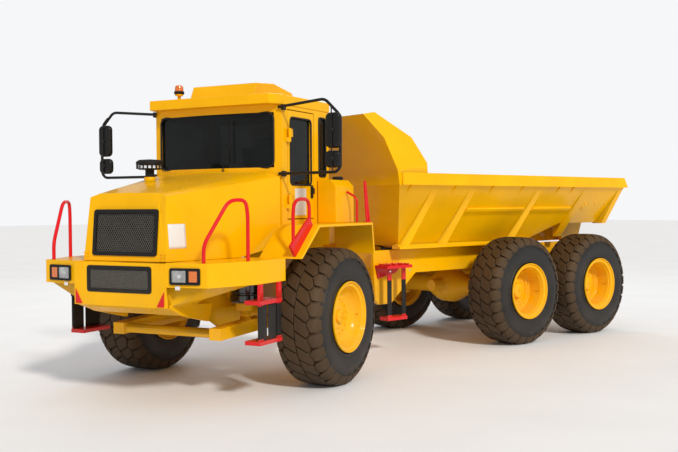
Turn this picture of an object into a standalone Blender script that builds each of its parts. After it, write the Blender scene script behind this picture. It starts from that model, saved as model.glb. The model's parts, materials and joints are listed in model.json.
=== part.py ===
"""Articulated dump truck, 6x6: a front unit with the cab, steered about a hitch ahead of the rear unit.

Metres, +Z up, +X to the truck's left, front facing -Y. Both units are drawn about the steering pivot,
and the whole is then moved so that the origin lies under the middle of its box. The front unit rests
turned to its left by REST_ARTICULATION.
"""

import math

import bmesh
import bpy
from mathutils import Matrix, Vector

# ---- driving dimensions: stance -------------------------------------------------------------------
REST_ARTICULATION = math.radians(21.66)
TYRE_RADIUS = 0.755
TYRE_WIDTH = 0.55
TRACK = 2.427
FRONT_AXLE_Y = -1.546
BOGIE_Y = 3.753
BOGIE_SPACING = 1.704
ROUND_STEPS = 24
AXLE_Z = TYRE_RADIUS * math.cos(math.pi / ROUND_STEPS)
SEAT = 0.0004
RUNNING_GAP = 0.006

# ---- wheels and axles ---------------------------------------------------------------------------
BEAD_RADIUS = 0.345
FLANGE_RADIUS = 0.388
RIM_HALF_WIDTH = 0.287
RIM_WALL = 0.022
FRONT_DISC_OFFSET = 0.13
REAR_DISC_OFFSET = -0.02
DISC_THICKNESS = 0.035
HUB_RADIUS = 0.18
AXLE_TUBE_RADIUS = 0.125
DIFFERENTIAL_RADIUS = 0.25

# ---- rear frame ---------------------------------------------------------------------------------
REAR_RAIL_X = 0.62
REAR_RAIL_WALL = 0.06
REAR_FRAME_TOP = 1.365
REAR_FRAME_NOSE_Y = 0.72
REAR_FRAME_LOW = 0.65
BULKHEAD_INSET = 0.06
REAR_FRAME_BELLY = 1.04
DUMP_HINGE_Y = 5.0
DUMP_HINGE_Z = 1.20
DUMP_PIN_RADIUS = 0.05
FRAME_TAIL_RADIUS = 0.165
BEAM_X = 0.77
BEAM_WIDTH = 0.12

# ---- dump body ----------------------------------------------------------------------------------
BODY_WALL = 0.03
FLOOR_Z = 1.435
FLOOR_HALF = 0.75
FLOOR_FRONT_Y = 1.05
RAMP_Y = 3.72
RAMP_TOP_Y = 4.30
TAIL_FLOOR_Z = 1.68
TAIL_Y = 5.36
RAIL_Z = 2.21
RAIL_HEIGHT = 0.15
RAIL_OUT_X = 1.455
RAIL_DEPTH = 0.09
SIDE_TOP_HALF = 1.41
RAIL_FRONT_Y = 0.43
RAIL_REAR_LOW_Y = 5.45
RAIL_REAR_TOP_Y = 5.35
GUARD_NOTCH_Z = 2.775
GUARD_NOTCH_Y = 0.22
GUARD_NOTCH_HALF = 1.36
GUARD_TIP_Z = 3.07
GUARD_TIP_Y = 0.07
GUARD_TIP_HALF = 1.15
RIB_YS = (1.10, 1.83, 3.27, 4.42)
RIB_WIDTH = 0.12
RIB_DEPTH = 0.075
SILL_X = 0.50

# ---- hoist and steering cylinders ---------------------------------------------------------------
HOIST_X = 0.38
HOIST_BASE = (2.10, 1.12)
HOIST_EYE = (4.35, 1.34)
HOIST_BARREL_RADIUS = 0.075
HOIST_ROD_RADIUS = 0.045
STEER_BASE = (0.28, -0.90)
STEER_EYE = (0.29, 0.10)
STEER_Z = 0.9975
STEER_BARREL_RADIUS = 0.048
STEER_ROD_RADIUS = 0.025
HOIST_ROD_SHOWN = 0.42
STEER_BARREL_LENGTH = 0.60
STEER_ROD_LENGTH = 0.665
EYE_RADIUS = 0.055
EYE_HALF_WIDTH = 0.030
BASE_PIN_RADIUS = 0.040
BARREL_BOTTOM = 0.10
ROD_BOTTOM_GAP = 0.02

# ---- hitch --------------------------------------------------------------------------------------
HITCH_BOSS_RADIUS = 0.15
HITCH_BOSS_Z = (0.76, 1.13)
HITCH_TUBE_RADIUS = 0.17
HITCH_TUBE_Z = 0.94
HITCH_SPIGOT_RADIUS = 0.13
STEER_PIN_RADIUS = 0.06
EAR_THICKNESS = 0.04

# ---- front frame --------------------------------------------------------------------------------
FRONT_RAIL_X = 0.42
FRONT_RAIL_WALL = 0.05
FRONT_FRAME_Z = (0.885, 1.12)
FRONT_FRAME_NOSE_Y = -3.40
ENGINE_HALF = 0.33
ENGINE_FOOT_Y = (-2.70, -2.25)
CAB_POST_X = 0.395
CAB_POST_Y = (-1.72, -0.92)

# ---- front body ---------------------------------------------------------------------------------
DECK_Z = 1.43
BOX_FRONT_Y = -3.50
BOX_FRONT_X = 1.00
BOX_BEND_Y = -2.95
BOX_BEND_X = 1.20
BOX_REAR_Y = -2.42
BOX_LOW_Z = 1.20
PANEL_HALF = 0.565
PANEL_FRONT_Y = -3.56
PANEL_LOW_Z = 1.00
HOOD_FRONT_Y = -3.45
HOOD_FRONT_HALF = 0.51
HOOD_REAR_GAP = 0.030
CAB_HALF = 0.85
HOOD_REAR_HALF = CAB_HALF - 0.01
HOOD_FRONT_TOP_Z = DECK_Z + 0.65
HOOD_REAR_TOP_Z = 2.34
HOOD_WALL = 0.02
GRILLE_HALF = 0.39
UPPER_GRILLE_Z = (DECK_Z + 0.06, DECK_Z + 0.50)
LOWER_GRILLE_Z = (1.14, 1.385)
HOOD_FOOT_GAP = 0.0026
HOOD_HINGE_Y = -3.53
HOOD_HINGE_Z = 1.425
CLEANER_XY = (-0.36, -2.62)
CLEANER_FOOT_Z = 2.28

# ---- cab ----------------------------------------------------------------------------------------
CAB_WALL = 0.05
CAB_FRONT_Y = -1.88
CAB_BOW = 0.10
CAB_REAR_Y = -0.80
CAB_FLOOR_Z = 1.50
CAB_TOP_Z = 3.06
WINDOW_LOW_Z = 2.38
WINDOW_TOP_Z = 2.98
SIDE_WINDOW_Z = 2.30
SCREEN_HALF = CAB_HALF - 0.09
RIGHT_WINDOW_Y = (-1.70, -0.92)
RIGHT_WINDOW_DROP = 0.02
QUARTER_WINDOW_Y = (-1.05, -0.88)
REAR_WINDOW_HALF = CAB_HALF - 0.14
DOOR_Y = (-1.76, -1.17)
DOOR_Z = (1.82, 3.01)
DOOR_GAP = 0.011
DOOR_HINGE_X = 0.885
DOOR_HINGE_AHEAD = 0.012
DOOR_HINGE_ZS = (2.03, 2.76)
KNUCKLE_HALF = 0.05
KNUCKLE_RADIUS = 0.016
DOOR_THICKNESS = 0.045
DOOR_WINDOW_Z = (2.20, 2.93)
ROOF_THICKNESS = 0.11
VISOR_FRONT_Y = -2.06
VISOR_HALF = 0.80
GLASS = 0.008

# ---- mudguards and tanks ------------------------------------------------------------------------
GUARD_OUT_X = 1.36
GUARD_IN_X = CAB_HALF + SEAT
GUARD_TOP_Z = 1.76
GUARD_SHEET = 0.03
GUARD_FRONT_Y = -1.98
GUARD_REAR_Y = -0.66
GUARD_TOE_Y = -2.38
GUARD_HEEL_Y = -0.60
TANK_OUT_X = 1.10
TANK_Y = (-1.10, -0.64)
TANK_TOP_Z = 2.26

# ---- rails and steps ----------------------------------------------------------------------------
RAIL_TUBE = 0.019
MIRROR_TUBE = 0.016

PARTS = None
CUTTERS = None
MATERIALS = {}
BOOLEANS = []


# ---- scene, materials and helpers ---------------------------------------------------------------
def clear_scene():
    for old in list(bpy.data.objects):
        bpy.data.objects.remove(old, do_unlink=True)


def new_collection(name):
    made = bpy.data.collections.new(name)
    bpy.context.scene.collection.children.link(made)
    return made


def material(name, colour, roughness, metallic=0.0):
    made = bpy.data.materials.new(name)
    made.use_nodes = True
    shader = made.node_tree.nodes["Principled BSDF"]
    shader.inputs["Base Color"].default_value = (*colour, 1.0)
    shader.inputs["Roughness"].default_value = roughness
    shader.inputs["Metallic"].default_value = metallic
    MATERIALS[name] = made


def make_materials():
    material("yellow_paint", (0.86, 0.42, 0.005), 0.35)
    material("red_paint", (0.70, 0.02, 0.01), 0.40)
    material("black_paint", (0.02, 0.02, 0.02), 0.50)
    material("tyre_rubber", (0.03, 0.028, 0.026), 0.85)
    material("dark_glass", (0.03, 0.035, 0.04), 0.08)
    material("bare_steel", (0.60, 0.60, 0.60), 0.25, 1.0)
    material("cast_iron", (0.08, 0.08, 0.08), 0.60)
    material("lamp_glass", (0.85, 0.85, 0.80), 0.15)
    material("seat_fabric", (0.05, 0.05, 0.06), 0.90)
    material("amber_lens", (0.90, 0.28, 0.01), 0.20)


def finish(obj, paint, parent, smooth=False):
    """Names the object's paint, hangs it on its parent empty and shades its round faces."""
    if not obj.data.materials:
        obj.data.materials.append(MATERIALS[paint])
    obj.parent = parent
    if smooth:
        obj.data.shade_smooth()
        obj.data.set_sharp_from_angle(angle=math.radians(35))
    return obj


def mesh_object(name, build):
    mesh = bpy.data.meshes.new(name)
    work = bmesh.new()
    build(work)
    bmesh.ops.recalc_face_normals(work, faces=work.faces)
    work.to_mesh(mesh)
    work.free()
    obj = bpy.data.objects.new(name, mesh)
    PARTS.objects.link(obj)
    return obj


def box(name, low, high):
    """A block between two corners."""
    size = [b - a for a, b in zip(low, high)]
    middle = [(a + b) / 2 for a, b in zip(low, high)]
    place = Matrix.Translation(middle) @ Matrix.Diagonal((*size, 1.0))
    return mesh_object(name, lambda work: bmesh.ops.create_cube(work, size=1.0, matrix=place))


def cylinder(name, start, end, radius, steps=20, end_radius=None):
    """A round bar or cone between two points."""
    start = Vector(start)
    run = Vector(end) - start
    turn = run.to_track_quat("Z", "Y").to_matrix().to_4x4()
    place = Matrix.Translation(start + run / 2) @ turn
    second = radius if end_radius is None else end_radius

    def build(work):
        bmesh.ops.create_cone(
            work,
            cap_ends=True,
            segments=steps,
            radius1=radius,
            radius2=second,
            depth=run.length,
            matrix=place,
        )

    return mesh_object(name, build)


def to_mesh(curve_object):
    """The curve's solid as a mesh object with its caps welded on."""
    bpy.context.view_layer.update()
    graph = bpy.context.evaluated_depsgraph_get()
    mesh = bpy.data.meshes.new_from_object(curve_object.evaluated_get(graph))
    work = bmesh.new()
    work.from_mesh(mesh)
    bmesh.ops.remove_doubles(work, verts=work.verts, dist=0.00005)
    bmesh.ops.recalc_face_normals(work, faces=work.faces)
    work.to_mesh(mesh)
    work.free()
    mesh.transform(curve_object.matrix_world)
    name = curve_object.name
    curve = curve_object.data
    bpy.data.objects.remove(curve_object, do_unlink=True)
    bpy.data.curves.remove(curve)
    solid = bpy.data.objects.new(name, mesh)
    PARTS.objects.link(solid)
    return solid


def plate(name, corners, thickness):
    """A flat sheet on a closed outline of points that lie in one plane, centred on that plane."""
    corners = [Vector(corner) for corner in corners]
    first = corners[0]
    across = (corners[1] - first).normalized()
    normal = Vector((0.0, 0.0, 0.0))
    for a, b in zip(corners, corners[1:] + corners[:1]):
        normal += (a - first).cross(b - first)
    normal.normalize()
    up = normal.cross(across)
    place = Matrix((across, up, normal)).transposed().to_4x4()
    place.translation = first
    curve = bpy.data.curves.new(name, "CURVE")
    curve.dimensions = "2D"
    curve.fill_mode = "BOTH"
    curve.extrude = thickness / 2
    spline = curve.splines.new("POLY")
    spline.points.add(len(corners) - 1)
    for point, corner in zip(spline.points, corners):
        offset = corner - first
        point.co = (offset.dot(across), offset.dot(up), 0.0, 1.0)
    spline.use_cyclic_u = True
    outline = bpy.data.objects.new(name, curve)
    PARTS.objects.link(outline)
    outline.matrix_world = place
    return to_mesh(outline)


def side_plate(name, x, outline, thickness):
    """A plate across X, on an outline of (y, z) points."""
    return plate(name, [(x, y, z) for y, z in outline], thickness)


def level_plate(name, z, outline, thickness):
    """A level plate on an outline of (x, y) points."""
    return plate(name, [(x, y, z) for x, y in outline], thickness)


def cross_plate(name, y, outline, thickness):
    """A plate across Y, on an outline of (x, z) points."""
    return plate(name, [(x, y, z) for x, z in outline], thickness)


def rounded(points, radius, steps=4):
    """A polyline with its inner corners turned on arcs."""
    points = [Vector(point) for point in points]
    path = [points[0]]
    for before, corner, after in zip(points, points[1:], points[2:]):
        arrive = (before - corner).normalized()
        leave = (after - corner).normalized()
        reach = min(radius, 0.45 * (before - corner).length, 0.45 * (after - corner).length)
        start = corner + arrive * reach
        end = corner + leave * reach
        for i in range(steps + 1):
            t = i / steps
            path.append(start * (1 - t) ** 2 + corner * 2 * t * (1 - t) + end * t**2)
    path.append(points[-1])
    return path


def tube(name, points, radius, bend=0.0, resolution=2):
    """A round tube along the points, with closed ends."""
    path = rounded(points, bend) if bend else [Vector(point) for point in points]
    curve = bpy.data.curves.new(name, "CURVE")
    curve.dimensions = "3D"
    curve.bevel_depth = radius
    curve.bevel_resolution = resolution
    curve.use_fill_caps = True
    spline = curve.splines.new("POLY")
    spline.points.add(len(path) - 1)
    for point, place in zip(spline.points, path):
        point.co = (*place, 1.0)
    obj = bpy.data.objects.new(name, curve)
    PARTS.objects.link(obj)
    return to_mesh(obj)


def turned(name, profile, steps=ROUND_STEPS, start_angle=0.0):
    """A solid turned about the X axis from (x, radius) points. The profile runs from +X to -X."""
    mesh = bpy.data.meshes.new(name)
    closed_ring = all(radius > 0 for _, radius in profile)
    points = [(x, 0.0, radius) for x, radius in profile]
    edges = [(i, i + 1) for i in range(len(points) - 1)]
    if closed_ring:
        edges.append((len(points) - 1, 0))
    mesh.from_pydata(points, edges, [])
    mesh.transform(Matrix.Rotation(start_angle, 4, "X"))
    obj = bpy.data.objects.new(name, mesh)
    PARTS.objects.link(obj)
    screw = obj.modifiers.new("turn", "SCREW")
    screw.axis = "X"
    screw.steps = steps
    screw.render_steps = steps
    screw.use_merge_vertices = True
    screw.merge_threshold = 0.0001
    screw.use_normal_calculate = True
    screw.use_normal_flip = not closed_ring
    return obj


def group(name, kind):
    """A collection of helpers for one Boolean."""
    made = bpy.data.collections.new(f"{name}_{kind}")
    CUTTERS.children.link(made)
    return made


def joined(name, base, added=(), cut=()):
    """One solid: the base with the added shapes united and the cutters taken away."""
    base.name = name
    for kind, helpers, operation in (("added", added, "UNION"), ("cut", cut, "DIFFERENCE")):
        if not helpers:
            continue
        held = group(name, kind)
        for helper in helpers:
            PARTS.objects.unlink(helper)
            held.objects.link(helper)
            helper.hide_render = True
            helper.display_type = "WIRE"
            helper.parent = base
            helper.matrix_parent_inverse = base.matrix_basis.inverted()
        BOOLEANS.append((base, kind, operation, held))
    return base


def add_booleans():
    """Sets the Booleans last, so that earlier pieces aren't worked out again for each new one."""
    for base, kind, operation, held in BOOLEANS:
        boolean = base.modifiers.new(kind, "BOOLEAN")
        boolean.operation = operation
        boolean.operand_type = "COLLECTION"
        boolean.collection = held
        boolean.solver = "EXACT"


def empty(name, place=(0, 0, 0), parent=None, turn=0.0):
    made = bpy.data.objects.new(name, None)
    made.empty_display_size = 0.2
    made.location = place
    made.rotation_euler = (0.0, 0.0, turn)
    made.parent = parent
    PARTS.objects.link(made)
    return made


def on_axis(name, place, parent, objects):
    """Hangs objects that were drawn in the unit's frame on an empty at their joint."""
    axis = empty(name, place, parent)
    for obj in objects:
        obj.parent = axis
        obj.matrix_parent_inverse = Matrix.Translation(Vector(place)).inverted()
    return axis


def both_sides():
    return (("left", 1), ("right", -1))


def mirrored(side, points):
    """The same (x, ...) points on the other side of the truck."""
    return [(side * point[0], *point[1:]) for point in points]


def bore(pin_radius, steps):
    """A faceted hole's radius that clears a faceted pin in any position."""
    return pin_radius / math.cos(math.pi / steps) + SEAT


# ---- wheels and axles ---------------------------------------------------------------------------
def make_wheel(axle, side_name, side, centre, parent, disc):
    half = TYRE_WIDTH / 2
    section = [
        (half - 0.065, BEAD_RADIUS),
        (half - 0.010, 0.45),
        (half, 0.57),
        (half - 0.022, 0.68),
        (half - 0.070, TYRE_RADIUS - 0.012),
        (half - 0.165, TYRE_RADIUS),
    ]
    tyre = turned(
        f"{axle}_tyre_{side_name}",
        section + [(-x, radius) for x, radius in reversed(section)],
        start_angle=math.pi / ROUND_STEPS,
    )
    seat = BEAD_RADIUS - SEAT
    barrel = seat - RIM_WALL
    rim_section = [
            (disc, 0.0),
            (disc, 0.22),
            (RIM_HALF_WIDTH - 0.05, barrel),
            (RIM_HALF_WIDTH, FLANGE_RADIUS),
            (RIM_HALF_WIDTH - 0.025, FLANGE_RADIUS),
            (half - 0.06, seat),
            (-half + 0.06, seat),
            (-RIM_HALF_WIDTH + 0.025, FLANGE_RADIUS),
            (-RIM_HALF_WIDTH, FLANGE_RADIUS),
            (-RIM_HALF_WIDTH + 0.05, barrel),
            (disc - DISC_THICKNESS, barrel - 0.02),
            (disc - DISC_THICKNESS, 0.0),
    ]
    rim = turned(f"{axle}_rim_{side_name}", rim_section[::-1], start_angle=math.pi / ROUND_STEPS)
    axis = empty(f"{axle}_axle_end_{side_name}", centre, parent)
    for obj, paint in ((tyre, "tyre_rubber"), (rim, "yellow_paint")):
        obj.data.materials.append(MATERIALS[paint])
        obj.parent = axis
        obj.scale.x = side


def turned_at(name, profile, y, z, steps):
    """A turned solid about an X axis through (y, z), as a mesh that a Boolean can take."""
    obj = turned(name, profile, steps)
    bpy.context.view_layer.update()
    graph = bpy.context.evaluated_depsgraph_get()
    mesh = bpy.data.meshes.new_from_object(obj.evaluated_get(graph))
    obj.modifiers.clear()
    obj.data = mesh
    mesh.transform(Matrix.Translation((0, y, z)))
    return obj


def axle_profile(disc):
    face = TRACK / 2 + disc - DISC_THICKNESS - SEAT
    inner = TRACK / 2 - TYRE_WIDTH / 2
    profile = [
        (face, 0.0),
        (face, HUB_RADIUS - 0.02),
        (inner + 0.02, HUB_RADIUS),
        (inner - 0.02, HUB_RADIUS),
        (inner - 0.03, AXLE_TUBE_RADIUS),
        (0.36, AXLE_TUBE_RADIUS),
        (0.16, DIFFERENTIAL_RADIUS - 0.02),
        (0.08, DIFFERENTIAL_RADIUS),
    ]
    return profile + [(-x, radius) for x, radius in reversed(profile)]


def make_rear_axles(rear):
    for name, y, nose in (("mid", BOGIE_Y - BOGIE_SPACING / 2, -1), ("rear", BOGIE_Y + BOGIE_SPACING / 2, -1)):
        housing = turned_at("housing", axle_profile(REAR_DISC_OFFSET), y, AXLE_Z, 20)
        snout = cylinder("snout", (0, y, AXLE_Z), (0, y + nose * 0.42, AXLE_Z + 0.02), 0.13, 16, 0.085)
        axle = joined(f"{name}_axle", housing, [snout])
        finish(axle, "cast_iron", rear, smooth=True)
        for side_name, side in both_sides():
            centre = (side * TRACK / 2, y, AXLE_Z)
            make_wheel(name, side_name, side, centre, rear, REAR_DISC_OFFSET)


def make_bogie_beams(rear):
    """Two walking beams on the axle tubes, tied by the trunnion tube that carries the frame."""
    seat_z = AXLE_Z + AXLE_TUBE_RADIUS + SEAT
    reach = BOGIE_SPACING / 2
    shapes = []
    for _, side in both_sides():
        outline = [
            (BOGIE_Y - reach - 0.13, seat_z),
            (BOGIE_Y - reach + 0.13, seat_z),
            (BOGIE_Y - reach + 0.30, seat_z - 0.06),
            (BOGIE_Y + reach - 0.30, seat_z - 0.06),
            (BOGIE_Y + reach - 0.13, seat_z),
            (BOGIE_Y + reach + 0.13, seat_z),
            (BOGIE_Y + reach + 0.13, seat_z + 0.05),
            (BOGIE_Y + 0.16, seat_z + 0.15),
            (BOGIE_Y - 0.16, seat_z + 0.15),
            (BOGIE_Y - reach - 0.13, seat_z + 0.05),
        ]
        shapes.append(side_plate("beam", side * BEAM_X, outline, BEAM_WIDTH))
    trunnion_z = seat_z + 0.05
    trunnion = cylinder("trunnion", (-BEAM_X, BOGIE_Y, trunnion_z), (BEAM_X, BOGIE_Y, trunnion_z), 0.065, 16)
    beams = joined("walking_beams", trunnion, shapes)
    finish(beams, "yellow_paint", rear)
    return trunnion_z


# ---- rear frame ---------------------------------------------------------------------------------
def arc(centre, radius, start, end, steps):
    """Points on an arc in a plane, from one angle to another, in degrees."""
    points = []
    for i in range(steps + 1):
        angle = math.radians(start + (end - start) * i / steps)
        points.append((centre[0] + radius * math.cos(angle), centre[1] + radius * math.sin(angle)))
    return points


def make_rear_frame(rear, trunnion_z):
    inner = REAR_RAIL_X - REAR_RAIL_WALL
    hinge = (DUMP_HINGE_Y, DUMP_HINGE_Z)
    outline = [
        (REAR_FRAME_NOSE_Y, REAR_FRAME_TOP),
        (REAR_FRAME_NOSE_Y + 0.04, REAR_FRAME_LOW + 0.06),
        (REAR_FRAME_NOSE_Y + 0.10, REAR_FRAME_LOW),
        (REAR_FRAME_NOSE_Y + 0.33, REAR_FRAME_LOW),
        (REAR_FRAME_NOSE_Y + 0.80, REAR_FRAME_BELLY),
    ]
    outline += arc(hinge, FRAME_TAIL_RADIUS, -90, 90, 8)
    shapes = []
    for _, side in both_sides():
        middle = side * (REAR_RAIL_X - REAR_RAIL_WALL / 2)
        shapes.append(side_plate("rail", middle, outline, REAR_RAIL_WALL))
        saddle = [
            (BOGIE_Y - 0.14, REAR_FRAME_BELLY + 0.05),
            (BOGIE_Y - 0.14, trunnion_z + 0.065 + SEAT),
            (BOGIE_Y + 0.14, trunnion_z + 0.065 + SEAT),
            (BOGIE_Y + 0.14, REAR_FRAME_BELLY + 0.05),
        ]
        shapes.append(side_plate("saddle", middle, saddle, REAR_RAIL_WALL + 0.04))
    bulkhead_z = (REAR_FRAME_LOW + 0.05, REAR_FRAME_TOP - 0.04)
    nose = (REAR_FRAME_NOSE_Y + BULKHEAD_INSET, REAR_FRAME_NOSE_Y + 0.20)
    bulkhead = box(
        "bulkhead", (-inner - 0.01, nose[0], bulkhead_z[0]), (inner + 0.01, nose[1], bulkhead_z[1])
    )
    for y, low, high in ((1.75, 1.06, 1.22), (3.62, 1.06, 1.13), (4.80, 1.06, 1.16)):
        shapes.append(box("cross", (-inner - 0.01, y - 0.06, low), (inner + 0.01, y + 0.06, high)))
    reach = REAR_RAIL_X + 0.16
    shapes.append(
        cylinder("hinge_pin", (-reach, *hinge), (reach, *hinge), DUMP_PIN_RADIUS, 24)
    )
    shapes.append(
        cylinder("hoist_pin", (-inner - 0.01, *HOIST_BASE), (inner + 0.01, *HOIST_BASE), BASE_PIN_RADIUS, 24)
    )
    hole = cylinder(
        "bearing",
        (0, nose[0] - 0.05, HITCH_TUBE_Z),
        (0, nose[1] + 0.05, HITCH_TUBE_Z),
        bore(HITCH_SPIGOT_RADIUS, 24),
        24,
    )
    frame = joined("rear_frame", bulkhead, shapes, [hole])
    return finish(frame, "yellow_paint", rear)


def make_frame_steps(rear):
    """Hanging steps on the rear frame's front corners: a toothed tread, rubber straps and a lower tread."""
    for side_name, side in both_sides():
        x0 = REAR_RAIL_X + SEAT
        x1 = REAR_RAIL_X + 0.24
        y0 = REAR_FRAME_NOSE_Y + 0.03
        y1 = y0 + 0.46
        tread = box("tread", (x0, y0, 1.135), (x1, y1, 1.175))
        bracket = side_plate(
            "bracket", x0 + 0.015, [(y0, 1.15), (y0 + 0.04, 1.00), (y1 - 0.1, 1.06), (y1, 1.15)], 0.03
        )
        straps = [
            box("strap", (x1 - 0.03, y, 0.50), (x1 - 0.015, y + 0.07, 1.15))
            for y in (y0 + 0.02, y0 + 0.28)
        ]
        low = box("low", (x1 - 0.16, y0 + 0.01, 0.46), (x1, y0 + 0.36, 0.50 + 0.005))
        step = joined(f"frame_step_{side_name}", tread, [bracket, *straps, low])
        step.scale.x = side
        finish(step, "red_paint", rear)


# ---- dump body ----------------------------------------------------------------------------------
def side_x(z):
    """Half width of the flared side at a height."""
    share = (z - FLOOR_Z) / (RAIL_Z + 0.01 - FLOOR_Z)
    return FLOOR_HALF + share * (SIDE_TOP_HALF - FLOOR_HALF)


def cheek_x(z):
    """Half width of the lower cheek at a height over the rail."""
    share = (z - RAIL_Z) / (GUARD_NOTCH_Z - RAIL_Z)
    return SIDE_TOP_HALF + share * (GUARD_NOTCH_HALF - SIDE_TOP_HALF)


def body_shell():
    """Half of the open tub as one sheet: floor, ramp, side, headboard and spill guard."""
    top = RAIL_Z + 0.01
    ledge = top + 0.17
    cheek_top = GUARD_NOTCH_Z + 0.02
    tip_top = GUARD_TIP_Z + 0.03
    places = {
        "floor_front": (FLOOR_HALF, FLOOR_FRONT_Y, FLOOR_Z),
        "floor_rear": (FLOOR_HALF, RAMP_Y, FLOOR_Z),
        "ramp": (side_x(TAIL_FLOOR_Z), RAMP_TOP_Y, TAIL_FLOOR_Z),
        "tail": (side_x(TAIL_FLOOR_Z), TAIL_Y, TAIL_FLOOR_Z),
        "side_rear": (SIDE_TOP_HALF, TAIL_Y + 0.03, top),
        "side_front": (SIDE_TOP_HALF, RAIL_FRONT_Y, top),
        "cheek_low": (SIDE_TOP_HALF, RAIL_FRONT_Y + 0.50, top),
        "ledge": (cheek_x(ledge), RAIL_FRONT_Y - 0.01, ledge),
        "cheek_rear": (cheek_x(ledge + 0.10), RAIL_FRONT_Y + 0.50, ledge + 0.10),
        "notch": (GUARD_NOTCH_HALF, GUARD_NOTCH_Y, GUARD_NOTCH_Z),
        "bend": (cheek_x(cheek_top), GUARD_NOTCH_Y + 0.46, cheek_top),
        "tip": (GUARD_TIP_HALF, GUARD_TIP_Y, GUARD_TIP_Z),
        "tip_rear": (GUARD_TIP_HALF - 0.02, GUARD_TIP_Y + 0.20, tip_top),
    }
    for name in ("floor_front", "floor_rear", "ramp", "tail", "side_front", "ledge", "notch", "tip"):
        _, y, z = places[name]
        places["mid_" + name] = (0.0, y, z)
    faces = (
        ("mid_floor_front", "floor_front", "floor_rear", "mid_floor_rear"),
        ("mid_floor_rear", "floor_rear", "ramp", "mid_ramp"),
        ("mid_ramp", "ramp", "tail", "mid_tail"),
        ("floor_front", "side_front", "cheek_low", "side_rear", "tail", "ramp", "floor_rear"),
        ("mid_side_front", "side_front", "floor_front", "mid_floor_front"),
        ("mid_ledge", "ledge", "side_front", "mid_side_front"),
        ("mid_notch", "notch", "ledge", "mid_ledge"),
        ("mid_tip", "tip", "notch", "mid_notch"),
        ("side_front", "ledge", "cheek_rear", "cheek_low"),
        ("ledge", "notch", "bend", "cheek_rear"),
        ("notch", "tip", "tip_rear", "bend"),
    )

    def build(work):
        made = {name: work.verts.new(place) for name, place in places.items()}
        for face in faces:
            work.faces.new([made[name] for name in face])

    sheet = mesh_object("dump_body", build)
    mirror = sheet.modifiers.new("halves", "MIRROR")
    mirror.merge_threshold = 0.0001
    wall = sheet.modifiers.new("wall", "SOLIDIFY")
    wall.thickness = BODY_WALL
    wall.offset = 0.0
    wall.use_even_offset = True
    wall.use_quality_normals = True
    return sheet


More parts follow.
